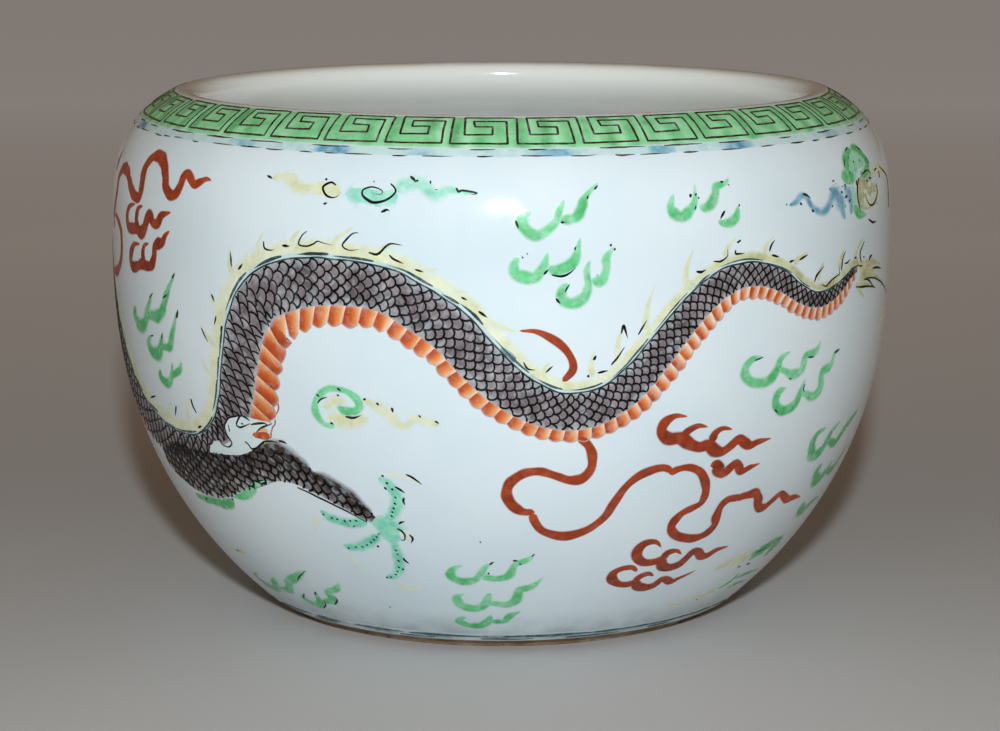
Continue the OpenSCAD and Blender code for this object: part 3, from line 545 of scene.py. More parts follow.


# How far the stains of the lip and the foot reach, where the inside's brighter white of painted light begins,
# and the base's stain
LIP_STAIN_H = 1.1
FOOT_STAIN_H = 6
INSIDE_FROM = 0.6
BASE_STAIN = 0.3
FOOT_ROUND = 0.15
glaze_section = np.concatenate([glazed_path, under_glaze[::-1]])
points, faces = revolve(glaze_section, closed=True)
depth = outer_radius(points[:, 2]) - np.hypot(points[:, 0], points[:, 1])
inside_share = np.clip((depth - INSIDE_FROM) / WALL_T, 0, 1)
make_piece("glazed_wall", points, faces, GLAZE, ("outer_glaze", "inner_glaze"),
           values={"lip": near_height(points, HEIGHT, HEIGHT - LIP_STAIN_H) ** 2, "inside": inside_share,
                   "foot": near_height(points, BARE_FOOT_H, BARE_FOOT_H + FOOT_STAIN_H)})

foot_in_r = BASE_R - FOOT_RING_W
foot_path = np.array([[0, FOOT_RECESS], [BASE_GLAZE_R, FOOT_RECESS], [foot_in_r, FOOT_RECESS],
                      [foot_in_r, FOOT_BEVEL], [foot_in_r + FOOT_ROUND, FOOT_ROUND],
                      [foot_in_r + FOOT_BEVEL, 0], [BASE_R - FOOT_BEVEL, 0],
                      [BASE_R - FOOT_ROUND, FOOT_ROUND], [BASE_R, FOOT_BEVEL]])
points, faces = revolve(np.concatenate([foot_path, under_glaze]))
make_piece("clay_body", points, faces, BISCUIT, ("porcelain_body",))

base_rows = np.linspace(0, BASE_GLAZE_R, DISC_ROWS)
base_low = FOOT_RECESS - GLAZE_T
base_path = np.array([[r, base_low] for r in base_rows] + [[BASE_GLAZE_R, FOOT_RECESS], [0, FOOT_RECESS]])
points, faces = revolve(base_path)
clean = np.zeros(len(points))
make_piece("glazed_base", points, faces, GLAZE, ("base_glaze",),
           values={"lip": clean, "foot": clean + BASE_STAIN, "inside": clean})

# The key-fret border and the rings
BAND_LOW = 88.6
FRET_LOW = 89
BAND_HIGH = 96
FRET_UNITS = 38
FRET_STEP = 360 / FRET_UNITS
FRET_START = -7.2
FRET_SHAKE = 0.006
FRET_UNIT = [
    (0, 0.93), (0, 0.1), (0.86, 0.1), (0.84, 0.79), (0.33, 0.79), (0.35, 0.6), (0.63, 0.6), (0.63, 0.36),
    (0.19, 0.35), (0.17, 0.93), (1, 0.93)
]
band = Paint()
band_tone = (0.5 + 0.15 * ripple(10, 120))[:, None]
band.ring(BAND_LOW, BAND_HIGH, lift=0.03, soft=0.08, tone=band_tone, ragged=0.08)
band.piece("border_green_band", BAND_GREEN, "green_enamel", "border_band")
fret = Paint()
for k in range(FRET_UNITS):
    tilt = rng.normal(0, FRET_SHAKE, (len(FRET_UNIT), 2))
    path = [(FRET_START + (k + a + da) * FRET_STEP, FRET_LOW + (b + db) * (BAND_HIGH - FRET_LOW))
            for (a, b), (da, db) in zip(FRET_UNIT, tilt)]
    fret.stroke(path, LINE, half=0.2, tone=0.4, straight=True)
fret.piece("border_fret_lines", BROWN_INK, "dark_line", "border_fret")

SHOULDER_RING = (87.3, 88.9)
FOOT_RING = (2.8, 5.2)
BLOTCH_WAVES = (9, 34)
shoulder = Paint()
blotches = np.clip(ripple(*BLOTCH_WAVES) - 0.25, 0, 1)[:, None]
shoulder.ring(*SHOULDER_RING, lift=0.012, soft=0.15, cover=0.65 + 0.25 * blotches,
              tone=0.95 - 0.65 * blotches, ragged=0.06)
shoulder.piece("shoulder_ring", BLUE, "blue_enamel", "shoulder_line")
foot_ring = Paint()
blotches = np.clip(0.6 + 0.3 * ripple(*BLOTCH_WAVES), 0.2, 0.95)[:, None]
foot_ring.ring(*FOOT_RING, lift=0.012, soft=0.4, cover=blotches, tone=0.35)
foot_ring.piece("foot_ring_wash", GREY_TEAL, "blue_enamel", "foot_line")
# No dash starts after the one angle or goes past the other
LAST_DASH = 178
SEAM = 179.5


def broken_ring(layer, height, half, length, gap, tone):
    """Dashes of the brush right round the bowl, with lengths and gaps in degrees between two limits."""
    u = -180.0
    while u < LAST_DASH:
        end = min(u + rng.uniform(*length), SEAM)
        drift = rng.normal(0, 0.06) + rng.normal(0, 0.025, 4)
        path = [(u + (end - u) * i / 3, height + d) for i, d in enumerate(drift)]
        layer.stroke(path, LINE, half=half * rng.uniform(0.7, 1.4), tone=tone, point=0.7)
        u = end + rng.uniform(*gap)


ring_lines = Paint()
broken_ring(ring_lines, height=88.6, half=0.13, length=(2, 7), gap=(2, 8), tone=0.3)
broken_ring(ring_lines, height=87.4, half=0.12, length=(1.5, 5), gap=(0.4, 4), tone=0.6)
ring_lines.piece("shoulder_ring_lines", BROWN_INK, "dark_line")
foot_lines = Paint()
broken_ring(foot_lines, height=4.4, half=0.3, length=(6, 22), gap=(-2, 4), tone=0.7)
broken_ring(foot_lines, height=3.5, half=0.18, length=(4, 14), gap=(4, 20), tone=0.6)
foot_lines.piece("foot_ring_lines", TEAL_INK, "blue_enamel")

# The dragon's back from the tail to the neck: the edge of the scales, their width and the belly's
SPINE = [
    (60, 66.8, 0.5, 0.5), (57, 66.4, 1, 1.4), (54, 65.1, 1.5, 1.8), (51, 64.2, 1.9, 1.9),
    (48, 64.3, 2.2, 1.9), (45, 65.6, 2.5, 1.9), (42, 67.8, 2.9, 1.9), (39, 69.3, 3.1, 1.9),
    (36, 70.1, 3.3, 1.9), (33, 70.2, 3.6, 1.9), (30, 69.5, 4, 2), (27, 67.7, 4.2, 2.1),
    (24, 65, 4.4, 2.2), (21, 61.5, 4.6, 2.2), (18, 57.8, 4.8, 2.2), (15.6, 55.2, 5, 2.1),
    (13, 53.4, 5.2, 2), (10.5, 52.7, 5.4, 1.9), (8, 52.8, 5.5, 1.9), (5, 54.1, 5.7, 2),
    (2, 56.6, 6.1, 2.1), (-1, 60, 6.4, 2.2), (-4, 63.8, 6.5, 2.3), (-7, 66.4, 6.5, 2.4),
    (-10, 68.3, 6.4, 2.6), (-13, 70.1, 6.3, 2.8), (-17, 71.2, 6.2, 3.1), (-21, 71.6, 6.4, 3.3),
    (-25, 71.7, 6.8, 3.7), (-29, 71.2, 7.2, 4), (-33, 69.8, 7.4, 4.2), (-36.5, 67.2, 7.4, 4.3),
    (-39, 63, 7.3, 4.3), (-40.2, 59, 7, 4.3), (-41.2, 54.5, 6.8, 4.2), (-42, 51, 6.6, 4),
    (-43, 48, 6, 3.4), (-44.4, 45.4, 4.4, 0.3), (-46.5, 43.3, 3.2, 0.2), (-50, 41.5, 3.6, 0.2),
    (-56, 41, 4.4, 0.2), (-62, 42.6, 6.6, 0.2), (-68, 46, 9, 2), (-73, 51.5, 8.6, 3),
    (-77, 58.5, 7.8, 3.2), (-82, 65, 7.6, 3.3), (-89, 69.5, 7.5, 3.3), (-97, 70, 7.4, 3.3),
    (-104, 66, 7.2, 3.3), (-109, 60, 7, 3.2), (-114, 55, 6.8, 3.1), (-121, 53, 6.4, 3),
    (-128, 55.5, 6, 2.8), (-133, 59.5, 5.6, 2.4)
]
# The legs, from the shoulder to the wrist: the middle line and half the width
FRONT_LEG = [
    (-66, 35, 1.2), (-63, 34.5, 2.8), (-58, 34.6, 4.2), (-52, 34.4, 4.3), (-48, 35, 4), (-45, 35.8, 3.4),
    (-40, 37, 2.9), (-35, 39, 2.8), (-31, 38.6, 2.4), (-27.4, 36.6, 1.7), (-23.6, 34.5, 1.45),
    (-20.8, 32.4, 1.1), (-19.4, 31.2, 0.8)
]
FAR_LEG = [
    (-96.2, 59.8, 0.9), (-96.6, 58.2, 2.3), (-97, 55, 3.2), (-97.8, 50, 3.3), (-99.4, 44.6, 3.1),
    (-103, 39.4, 2.6), (-108, 35.6, 2.3), (-113, 34, 1.8), (-117, 33.4, 1.1)
]

# Steps along a limb's line, its washes and its paces
LIMB_STEP = 0.4
STRIP_STEP = 0.6
PACE_STEP = 0.2


class Limb:
    """A scaled band along a smooth line, which edges near and far bound across its travel."""

    def __init__(self, points):
        fine = smooth(points, LIMB_STEP)
        self.u, self.s, self.near, self.far, self.extra = fine.T
        self.run = travel(fine)
        self.side_u, self.side_s = left_of(self.u, self.s)

    def along(self, t, column):
        return np.interp(t, self.run, column)

    def at(self, t, q):
        """The place on the sheet at t along the line and q to its left."""
        return (self.along(t, self.u) + q * self.along(t, self.side_u),
                self.along(t, self.s) + q * self.along(t, self.side_s))

    def t_at(self, u):
        """How far along the line its point at an angle lies."""
        return self.run[np.argmin(np.abs(self.u - u))]

    def strip(self, layer, near, far, cover, tone, lift=0.015, t_from=0.0, fade=None):
        """A wash between two distances across the band, which are functions of the way along it.

        Its cover is given across it, its tone along it, and its fade is a share of the cover along it.
        """
        t = np.arange(t_from, self.run[-1], STRIP_STEP)[:, None]
        share, height = sunk_edges(len(cover), lift)
        u, s = self.at(t, near(t) + (far(t) - near(t)) * share)
        kept = np.interp(share, np.linspace(0, 1, len(cover)), cover)
        if fade:
            kept = kept * fade(t)
        layer.strip(u, s, height, kept, tone(t, share) + 0.1 * wave(t, 3, 11), 0.0)

    def paced(self, across):
        """A function that goes on from t by a length along the line at a distance across the band."""
        t = np.arange(0, self.run[-1], PACE_STEP)
        run = travel(np.column_stack(self.at(t, across(t))))

        def onward(start, length):
            end = np.interp(np.interp(start, t, run) + length, run, t)
            return start + max(end - start, PACE_STEP)
        return onward


body = Limb([(u, s, 0, w, b) for u, s, w, b in SPINE])
front_leg = Limb([(u, s, -h, h, 0) for u, s, h in FRONT_LEG[::-1]])
far_leg = Limb([(u, s, -h, h, 0) for u, s, h in FAR_LEG[::-1]])

SCALE_POINTS = 13
# How far the hand shifts and stretches a scale, and how far it may reach over the band's edge
SCALE_SHIFT = 0.03
SCALE_STRETCH = 0.05
SCALE_OVER = 0.05
# A leg's scales: the pitch, the row's share of it, the lean and the point
LEG_SCALES = (1.6, 0.86, -0.55, 0.2)
# A leaning scale's edge: pitches across the band and rows towards the tail
LEANING_SCALE = [
    (0, -0.2), (0.2, -0.06), (0.42, 0), (0.72, -0.08), (1, -0.3), (1.2, -0.6), (1.36, -0.9), (1.47, -1.2)
]


def scale_edge(lean, point):
    """A scale's edge from round to pointed, and from upright to leaning; a lean below 0 is mirrored."""
    turn = np.linspace(0, math.pi, SCALE_POINTS)
    x = 0.5 - 0.5 * np.cos(turn)
    y = (1 - point) * (np.sin(turn) - 1) - point * np.abs(2 * x - 1)
    knots = np.linspace(0, math.pi, len(LEANING_SCALE))
    lean_x, lean_y = (np.interp(turn, knots, column) for column in zip(*LEANING_SCALE))
    if lean < 0:
        lean_x = 1 - lean_x[::-1]
        lean_y = lean_y[::-1]
    return x + abs(lean) * (lean_x - x), y + abs(lean) * (lean_y - y)


def draw_scales(limb, lines, shape, half=0.16, t_from=0.5):
    """Rows of scales that bulge towards the start of the limb, each row set between the scales of the last.

    The shape at an angle and a width gives the pitch, the row's share of it, the lean and the point.
    """
    onward = limb.paced(lambda t: (limb.along(t, limb.near) + limb.along(t, limb.far)) / 2)
    t = t_from
    row = 0
    while t < limb.run[-1] - 0.3:
        near = limb.along(t, limb.near)
        far = limb.along(t, limb.far)
        pitch, tallness, lean, point = shape(limb.along(t, limb.u), far - near)
        gap = onward(t, pitch * tallness) - t
        x, y = scale_edge(lean, point)
        start = near - (1.5 + 0.5 * (row % 2)) * pitch
        while start < far:
            q = start + pitch * x + rng.normal(0, SCALE_SHIFT)
            along = t - gap * (1 + y * (1 + rng.normal(0, SCALE_STRETCH)))
            kept = (q > near - SCALE_OVER) & (q < far + SCALE_OVER) & (along > 0)
            if kept.sum() > 2:
                u, s = limb.at(along[kept], q[kept])
                lines.stroke(list(zip(u, s)), LINE, half=half * rng.uniform(0.85, 1.15), tone=0.25)
            start += pitch
        t += gap
        row += 1


def body_shape(u, width):
    """Scales lean along the rising body at the left, are round in the middle and pointed at the right."""
    pitch = (0.5 + 0.2 * width) * np.interp(u, [-70, -60, -50, -43, -36, -28, 10, 28, 50],
                                            [1, 1.25, 1.45, 1.18, 1.1, 1, 1, 1.28, 1.5])
    return (pitch, np.interp(u, [-50, -41, -36, -28, 10, 28], [0.7, 0.64, 0.62, 0.6, 0.6, 0.5]),
            np.interp(u, [-40, -36, -27], [1, 0.6, 0]), np.interp(u, [18, 34], [0, 0.4]))


def leg_shape(u, width):
    return LEG_SCALES


scales = Paint()
scale_fade = [0.6, 0.9, 1, 1, 1, 1, 0.85, 0.55]
body.strip(scales, lambda t: 0 * t, lambda t: body.along(t, body.far) + 0.25, scale_fade,
           lambda t, share: 0.5 + 0 * share, t_from=1.0)
scales.piece("dragon_scale_wash", SCALE, "scale_enamel", "dragon_body")
legs = Paint()
leg_fade = [0.95, 1, 1, 1, 1, 0.95, 0.7]
for limb in (front_leg, far_leg):
    limb.strip(legs, lambda t: limb.along(t, limb.near), lambda t: limb.along(t, limb.far), leg_fade,
               lambda t, share: 0.15 + 0.6 * share ** 1.5, lift=0.03)
legs.piece("dragon_leg_wash", LEG, "scale_enamel", "dragon_legs")
scale_lines = Paint()
draw_scales(body, scale_lines, body_shape, t_from=3.0)
for limb in (front_leg, far_leg):
    draw_scales(limb, scale_lines, leg_shape, half=0.23)
scale_lines.piece("dragon_scale_lines", INK, "dark_line")

# The belly's plates, each dark at one end; none where the neck passes behind the shoulder
HIDDEN_NECK = (-66, -43.2)
PLATE_ROWS = 9
PLATE_COLUMNS = 7
PLATE_GAP = 0.12


def draw_plates(plates, outlines):
    onward = body.paced(lambda t: body.along(t, body.far) + body.along(t, body.extra) / 2)
    t = 1.2
    while t < body.run[-1] - 1:
        u = body.along(t, body.u)
        width = body.along(t, body.extra)
        pitch = np.interp(u, [-40, -20, 0, 20, 40, 60], [2.5, 2.4, 2.2, 1.9, 1.75, 1.6])
        step = onward(t, pitch) - t
        slant = np.interp(u, [-40, -28, -10, 20, 60], [0.55, 0.35, 0.1, 0.1, 0.2]) * step
        pale = np.interp(u, [5, 25], [0, 1])
        if width > 0.6 and not HIDDEN_NECK[0] < u < HIDDEN_NECK[1]:
            a = np.linspace(0, 1, PLATE_ROWS)[:, None]
            b, height = sunk_edges(PLATE_COLUMNS, 0.025)
            reach = width * (0.8 + 0.2 * np.sin(math.pi * a)) * rng.uniform(0.94, 1.06)
            q = body.along(t + step * a, body.far) + PLATE_GAP + b * reach
            place = body.at(t + step * a + slant * b, q)
            light = rng.uniform(-0.06, 0.06)
            bar = np.clip((a - 0.1) / 0.7, 0, 1)
            strong = 0.85 - 0.82 * a ** 0.75
            weak = 0.9 - 0.76 * bar
            tone = (1 - pale) * strong + pale * weak + 0.08 * (1 - b) + light
            cover = np.clip(0.8 + 2 * b, 0, 1) * np.where(b > 0.95, 0.85, 1) * (1 - pale * 0.2 * (1 - bar))
            plates.strip(*place, height, cover, tone, 0.0)
            rim = [np.concatenate([side[:, -2], side[-1, 4:8][::-1]]) for side in place]
            outlines.stroke(list(zip(*rim)), LINE, half=0.09, tone=0.55, cover=0.6)
        t += step


# Thin red outlines of the last plates over the shoulder
SHOULDER_OUTLINES = [
    [(-31.8, 49.6), (-31.8, 48.6), (-32.4, 47.6), (-32.8, 47.2)],
    [(-32.6, 46.8), (-32.8, 46), (-33.6, 45), (-33.8, 44), (-34.2, 43.6)]
]
plates = Paint()
outlines = Paint()
draw_plates(plates, outlines)
for path in SHOULDER_OUTLINES:
    outlines.stroke(path, LINE, half=0.1, tone=0.5)
plates.piece("dragon_belly_plates", ORANGE, "orange_enamel", "dragon_belly")
outlines.piece("dragon_belly_outlines", RED, "iron_red")


# The fin along the back, its spikes and the lines of the spine
def spine_width(t):
    return 0.22 + 0.08 * body.along(t, body.far)


def fin_tone(t, share):
    """The fin is darker towards the tail."""
    return np.interp(body.along(t, body.u), [15, 45], [0.7, 0.35]) + 0 * share


fin = Paint()
body.strip(fin, lambda t: -spine_width(t) - np.interp(body.along(t, body.u), [-15, 15], [2.4, 1.4]),
           lambda t: -spine_width(t), [0, 0.35, 0.65, 0.85, 0.9, 0.9, 0.85],
           fin_tone, lift=0.008, t_from=0.5)
# Tongues of the fin: the foot of each on the back, then its tip
TONGUES = [
    (-66, 46.4, -63.6, 47), (-57.6, 43, -55, 46), (-51, 43.6, -49.6, 48), (-43.4, 52, -45.4, 54.6),
    (-42.2, 57, -45.4, 60.2), (-41, 62.4, -43, 65.4), (-38.4, 68, -38.8, 72.4), (-34, 71, -33, 75),
    (-28.6, 73, -26.8, 76.2), (-22.6, 73.6, -19.4, 76.6), (-16.6, 73, -13, 74.6), (-10.4, 70.4, -8, 71),
    (-6, 67.6, -4.2, 67.8), (-1.6, 63.4, 2, 62), (3.6, 57.4, 2.8, 58.6), (5.6, 55.4, 6.4, 57.6),
    (12, 55.2, 12.2, 59), (15.4, 57, 16, 63), (19, 61.6, 20.3, 68.2), (24.6, 67.6, 25.8, 73),
    (30.6, 71.4, 32.4, 74.2), (37.2, 71.4, 39, 73.8), (43, 69.2, 46, 70.8), (48.4, 66, 49.6, 68.8),
    (53.6, 67, 55, 70.2), (58, 68, 61, 71)
]
for foot_u, foot_s, tip_u, tip_s in TONGUES:
    middle = ((foot_u + tip_u) / 2 - 0.4, (foot_s + tip_s) / 2)
    tone = np.interp(foot_u, [15, 45], [0.65, 0.4])
    fin.stroke([(foot_u, foot_s, 0.85), (*middle, 0.5), (tip_u, tip_s, 0.1)], SOFT, tone=tone, cover=0.8)
# The far side's spikes, from an angle on: along the back, across it and half the width
SPIKES_FROM = -70
SPIKE_EVERY = 6.5
SPIKE = [(0, -1.6, 0.85), (-0.6, -3, 0.5), (-2.2, -4.6, 0.1)]
t = body.t_at(SPIKES_FROM)
while t < body.run[-1] - 2:
    path = [(*body.at(t + along, across), half) for along, across, half in SPIKE]
    fin.stroke(path, SOFT, tone=0.65, cover=0.8)
    t += SPIKE_EVERY
TAIL_TUFT = [
    [(59.4, 67, 0.9), (61.8, 66.6, 1), (64.6, 66.6, 0.8), (66.4, 66.4, 0.5), (69.4, 65.6, 0.1)],
    [(60, 65.8, 0.9), (63.6, 65.2, 0.8), (67.2, 65.4, 0.5), (70.2, 64.8, 0.1)],
    [(60, 64.8, 0.8), (64.8, 64.4, 0.7), (68, 63.6, 0.5), (71.8, 62, 0.4), (75.6, 60.2, 0.3),
     (76.2, 59.6, 0.1)],
    [(58.8, 63.8, 0.6), (62.2, 63.4, 0.6), (64.8, 62.9, 0.4), (67.2, 62.2, 0.1)],
    [(59.6, 63.2, 0.5), (60.8, 62.4, 0.4), (62, 61.6, 0.1)]
]
for path in TAIL_TUFT:
    fin.stroke(path, LOOSE, tone=0.35)
fin.piece("dragon_fin_wash", YELLOW, "yellow_enamel", "dragon_fin")

spine_band = Paint()
body.strip(spine_band, lambda t: -1.05 * spine_width(t), lambda t: 0.15 + 0 * t, [0.8, 0.8, 0.75, 0.7, 0.6],
           lambda t, share: 0.85 + 0 * share, lift=0.01, t_from=0.5,
           fade=lambda t: np.interp(body.along(t, body.u), [20, 45], [1, 0.4]))
spine_band.stroke([(-0.2, 59.6), (0.8, 58.9), (1.8, 57.6)], WASH, half=0.9, tone=0.3)
spine_band.piece("dragon_spine_wash", GREY_TEAL, "blue_enamel")
spine_lines = Paint()
t = np.arange(0.5, body.run[-1], 0.8)
u, s = body.at(t, -0.12 + 0.06 * wave(t))
spine_lines.stroke(list(zip(u, s)), LINE, half=0.15, tone=0.3)
t = 2.0
while t < body.run[-1] - 6:
    span = rng.uniform(2.5, 8)
    q = -spine_width(t) * rng.uniform(0.85, 1.15)
    steps = np.linspace(t, t + span, 6)
    u, s = body.at(steps, q + np.linspace(0, rng.uniform(-0.1, 0.35), 6))
    half = rng.uniform(0.1, 0.2) * np.interp(u[0], [-20, 20], [1.5, 0.9])
    spine_lines.stroke(list(zip(u, s)), LINE, half=half, tone=rng.uniform(0.3, 0.9), point=0.7)
    t += span + rng.uniform(-0.5, 3)
spine_lines.piece("dragon_spine_lines", TEAL_INK, "dark_line")

# The foot: turquoise palm and toes with black dots, pale yellow nails
PALM = [(-19.8, 30.8, 0.9), (-18.2, 30.4, 2), (-17.2, 29.7, 2.4), (-16.9, 28.4, 2), (-16.9, 26.8, 1)]
FOOT_SIZE = 1.38
TOES = [
    [(-17.4, 31.2, 1), (-16.2, 32.6, 0.95), (-15.4, 34, 0.9), (-15, 35.4, 0.9), (-15.4, 36.8, 0.85),
     (-16.4, 38.2, 0.75), (-17.6, 38.8, 0.4)],
    [(-20.4, 30.6, 0.5), (-22, 30.5, 0.85), (-23.4, 30.1, 0.9), (-25, 30.4, 0.85), (-26.8, 30.9, 0.7),
     (-28, 32, 0.4)],
    [(-19, 28.4, 0.9), (-20.6, 27, 0.9), (-22.6, 25.8, 0.9), (-24.4, 25.3, 0.75), (-25.8, 25.5, 0.4)],
    [(-16.8, 27.4, 0.8), (-16.6, 25.4, 0.8), (-16.6, 23.6, 0.85), (-16.9, 21.8, 0.85), (-18, 20, 0.75),
     (-19.8, 19.2, 0.4)]
]
NAILS = [
    [(-15.8, 39.4, 0.4), (-14.4, 39.6, 0.5), (-13.2, 39.4, 0.4), (-12, 38.8, 0.3), (-11.2, 38.2, 0.08)],
    [(-28.6, 30.6, 0.4), (-29.6, 29, 0.5), (-29.8, 27.8, 0.1)],
    [(-25.4, 23.8, 0.4), (-24.8, 22.6, 0.5), (-24.4, 21.4, 0.4), (-23.6, 20.6, 0.3), (-23, 20.4, 0.08)],
    [(-18.4, 18.2, 0.4), (-17, 17.6, 0.5), (-14.8, 17.4, 0.5), (-12.8, 17.6, 0.08)],
    [(-15.6, 29.2, 0.9), (-14.4, 28.6, 0.8), (-14, 27.6, 0.3)]
]
TOE_DOTS = [
    (-16.8, 39.3), (-16.3, 38.1), (-15.6, 37.1), (-15.3, 35.7), (-15.5, 34.6), (-15.8, 33.7), (-16.1, 33),
    (-16.3, 32.3), (-27.6, 31.3), (-26.3, 30.8), (-25.4, 30.7), (-24.2, 30.5), (-23.2, 30.7),
    (-22.2, 30.8), (-19.4, 28), (-20, 27.4), (-20.6, 26.8), (-21.4, 26.2), (-22.3, 25.7), (-23.5, 25.5),
    (-24.9, 25.1), (-19.6, 26.1), (-16.7, 25.6), (-16.6, 24.8), (-16.7, 23.4), (-16.9, 22), (-16.3, 21.6),
    (-17.4, 21), (-17.8, 20.3), (-18.8, 19.6), (-19.6, 19.4)
]
FOOT_INK = [
    [(-15.2, 37.6), (-14.6, 37.2), (-13.8, 36.6)], [(-14, 35.8), (-14.2, 35.2), (-14, 34.4)],
    [(-13.4, 39.8), (-12.6, 39.4), (-11.6, 38.6), (-11.2, 38.2)],
    [(-15.4, 30.8), (-15, 31.2), (-14.4, 31.4)],
    [(-15.8, 30), (-15.2, 29.6), (-14.8, 29), (-14.8, 28.4), (-15, 27.8), (-15.6, 27.8)],
    [(-15.8, 24.2), (-15.6, 23.6), (-15, 23)], [(-16.8, 37.4), (-16.4, 37)], [(-23, 29.6), (-22.6, 29.8)],
    [(-14, 29), (-13.6, 28.2), (-14, 27.2)]
]
# The far foot is the front one, mirrored about its palm: the palm's place here and there
PALM_AT = (-17.4, 30)
FAR_PALM_AT = (-120, 32.4)


def thick(path, size):
    """A stroke's path with its half widths at the brush's own size."""
    return [(u, s, half * size) for u, s, half in path]


def far_foot(path):
    """A path of the front foot, mirrored on to the far leg."""
    return [(FAR_PALM_AT[0] - (p[0] - PALM_AT[0]), FAR_PALM_AT[1] + p[1] - PALM_AT[1], *p[2:]) for p in path]


feet = Paint()
nails = Paint()
ink = Paint()
for place in (list, far_foot):
    for path in [PALM] + TOES:
        feet.stroke(thick(place(path), FOOT_SIZE), SOFT, tone=0.5, cover=0.95)
    for path in NAILS:
        nails.stroke(thick(place(path), FOOT_SIZE), SOFT, tone=0.8, cover=0.6)
    for u, s in TOE_DOTS:
        dot = place([(u - 0.18, s + 0.12), (u + 0.18, s - 0.12)])
        ink.stroke(dot, LINE, half=rng.uniform(0.15, 0.22), tone=0.3)
    for path in FOOT_INK:
        ink.stroke(place(path), LINE, half=0.2, tone=0.3, point=0.7)
feet.piece("dragon_feet_wash", TURQUOISE, "turquoise_enamel", "dragon_feet")
nails.piece("dragon_nail_wash", YELLOW, "yellow_enamel", "dragon_nails")

# Dark wash along the leg, and the white flames of the shoulder
SMOKE_SIZE = 1.35
SMOKE_PATHS = [
    [(-38, 41, 0.4), (-35, 42, 1.1), (-32, 41.8, 1.3), (-29.6, 40.3, 1), (-28, 39, 0.4)],
    [(-28, 38.6, 0.4), (-25.6, 37.8, 1), (-23.6, 36.4, 1), (-21.4, 34.4, 0.9), (-19.4, 32.4, 0.6)],
    [(-66, 38, 1), (-61, 37, 2.2), (-54, 36.6, 2.6), (-48, 37.2, 2), (-44, 38.2, 0.8)],
    [(-36, 38.4, 0.5), (-31, 38.9, 1.2), (-27, 36.9, 1), (-22, 34, 0.7)]
]
smoke = Paint()
for path in SMOKE_PATHS:
    smoke.stroke(thick(path, SMOKE_SIZE), WASH, cover=0.9)
smoke.piece("dragon_leg_smoke", SMOKE, "scale_enamel")
# The white flame of the shoulder, between its left and its right edge
FLAME_LEFT = [
    (-39, 46.6), (-40.4, 46.2), (-41.4, 45.8), (-42, 45.2), (-42.6, 44.4), (-42.6, 43.6), (-42.4, 42.8),
    (-42, 42.2), (-41.8, 41.6), (-42.4, 41), (-43, 40.8), (-44, 41), (-44.6, 41.6), (-46, 41.2),
    (-47.4, 40.2)
]
FLAME_RIGHT = [
    (-33.2, 46.2), (-33.4, 45.4), (-33.8, 44.6), (-34.4, 43.8), (-35, 43), (-35.6, 42.6), (-36.6, 41.8),
    (-37.4, 41.4), (-38.6, 41), (-40, 40.4), (-41.4, 40.2), (-43, 39.9), (-44.4, 39.8), (-46, 39.4),
    (-47.6, 39)
]
SHOULDER_INK = [
    FLAME_LEFT[:13],
    [(-38.4, 46.6), (-39, 46.4), (-40, 45), (-39.4, 44.6), (-38.4, 45), (-37.2, 45.6)],
    [(-38.6, 46.6), (-37.8, 46.4), (-37.2, 46)],
    [(-39, 45.4), (-38.6, 45.2)],
    [(-37.2, 45.4), (-35.6, 45.8), (-34.6, 46), (-34, 45.8), (-33.2, 46.2)],
    [(-34, 45.8), (-35.2, 45.2), (-36.4, 44.2)],
    [(-39, 42.4), (-38.4, 42), (-38, 41.4), (-37.4, 41.4), (-36.6, 41.8), (-35.6, 42.6), (-35, 43),
     (-34, 43.2), (-32.8, 43.2)],
    [(-32.6, 43.4), (-32, 43.4), (-31.2, 43.2)],
    [(-47.2, 40.4), (-47.8, 39.2)],
    [(-46, 41.2), (-47.4, 40.2)],
    [(-49, 43), (-48, 43.4)],
    [(-31, 35.8), (-28, 34.6), (-24.2, 32.9), (-20.4, 30.8)]
]
SHOULDER_PLATE = [(-37.2, 43.7, 0.4), (-36, 43.8, 0.6), (-34.8, 44, 0.7), (-34, 44.2, 0.4)]
SHOULDER_PEACH = [(-36, 44.5, 0.2), (-35, 44.8, 0.4), (-34, 44.8, 0.2)]
OVER_SCALES = 0.095
OVER_FLAME = Brush(lift=0.13, soft=0.35, rim_cover=0.9, rim_lift=0.09, relief=0.2)
shoulder_white = Paint()
shoulder_white.fill(FLAME_LEFT, FLAME_RIGHT, OVER_SCALES, tone=0.95, cover=0.15)
shoulder_white.piece("dragon_shoulder_flame", TURQUOISE, "turquoise_enamel")
for path in SHOULDER_INK:
    ink.stroke(path, OVER_FLAME, half=0.18, tone=0.25, point=0.5)
shoulder_orange = Paint()
shoulder_orange.stroke(SHOULDER_PLATE, OVER_FLAME, tone=0.25)
shoulder_orange.stroke(SHOULDER_PEACH, OVER_FLAME, tone=0.8)
shoulder_orange.piece("dragon_shoulder_plate", ORANGE, "orange_enamel")

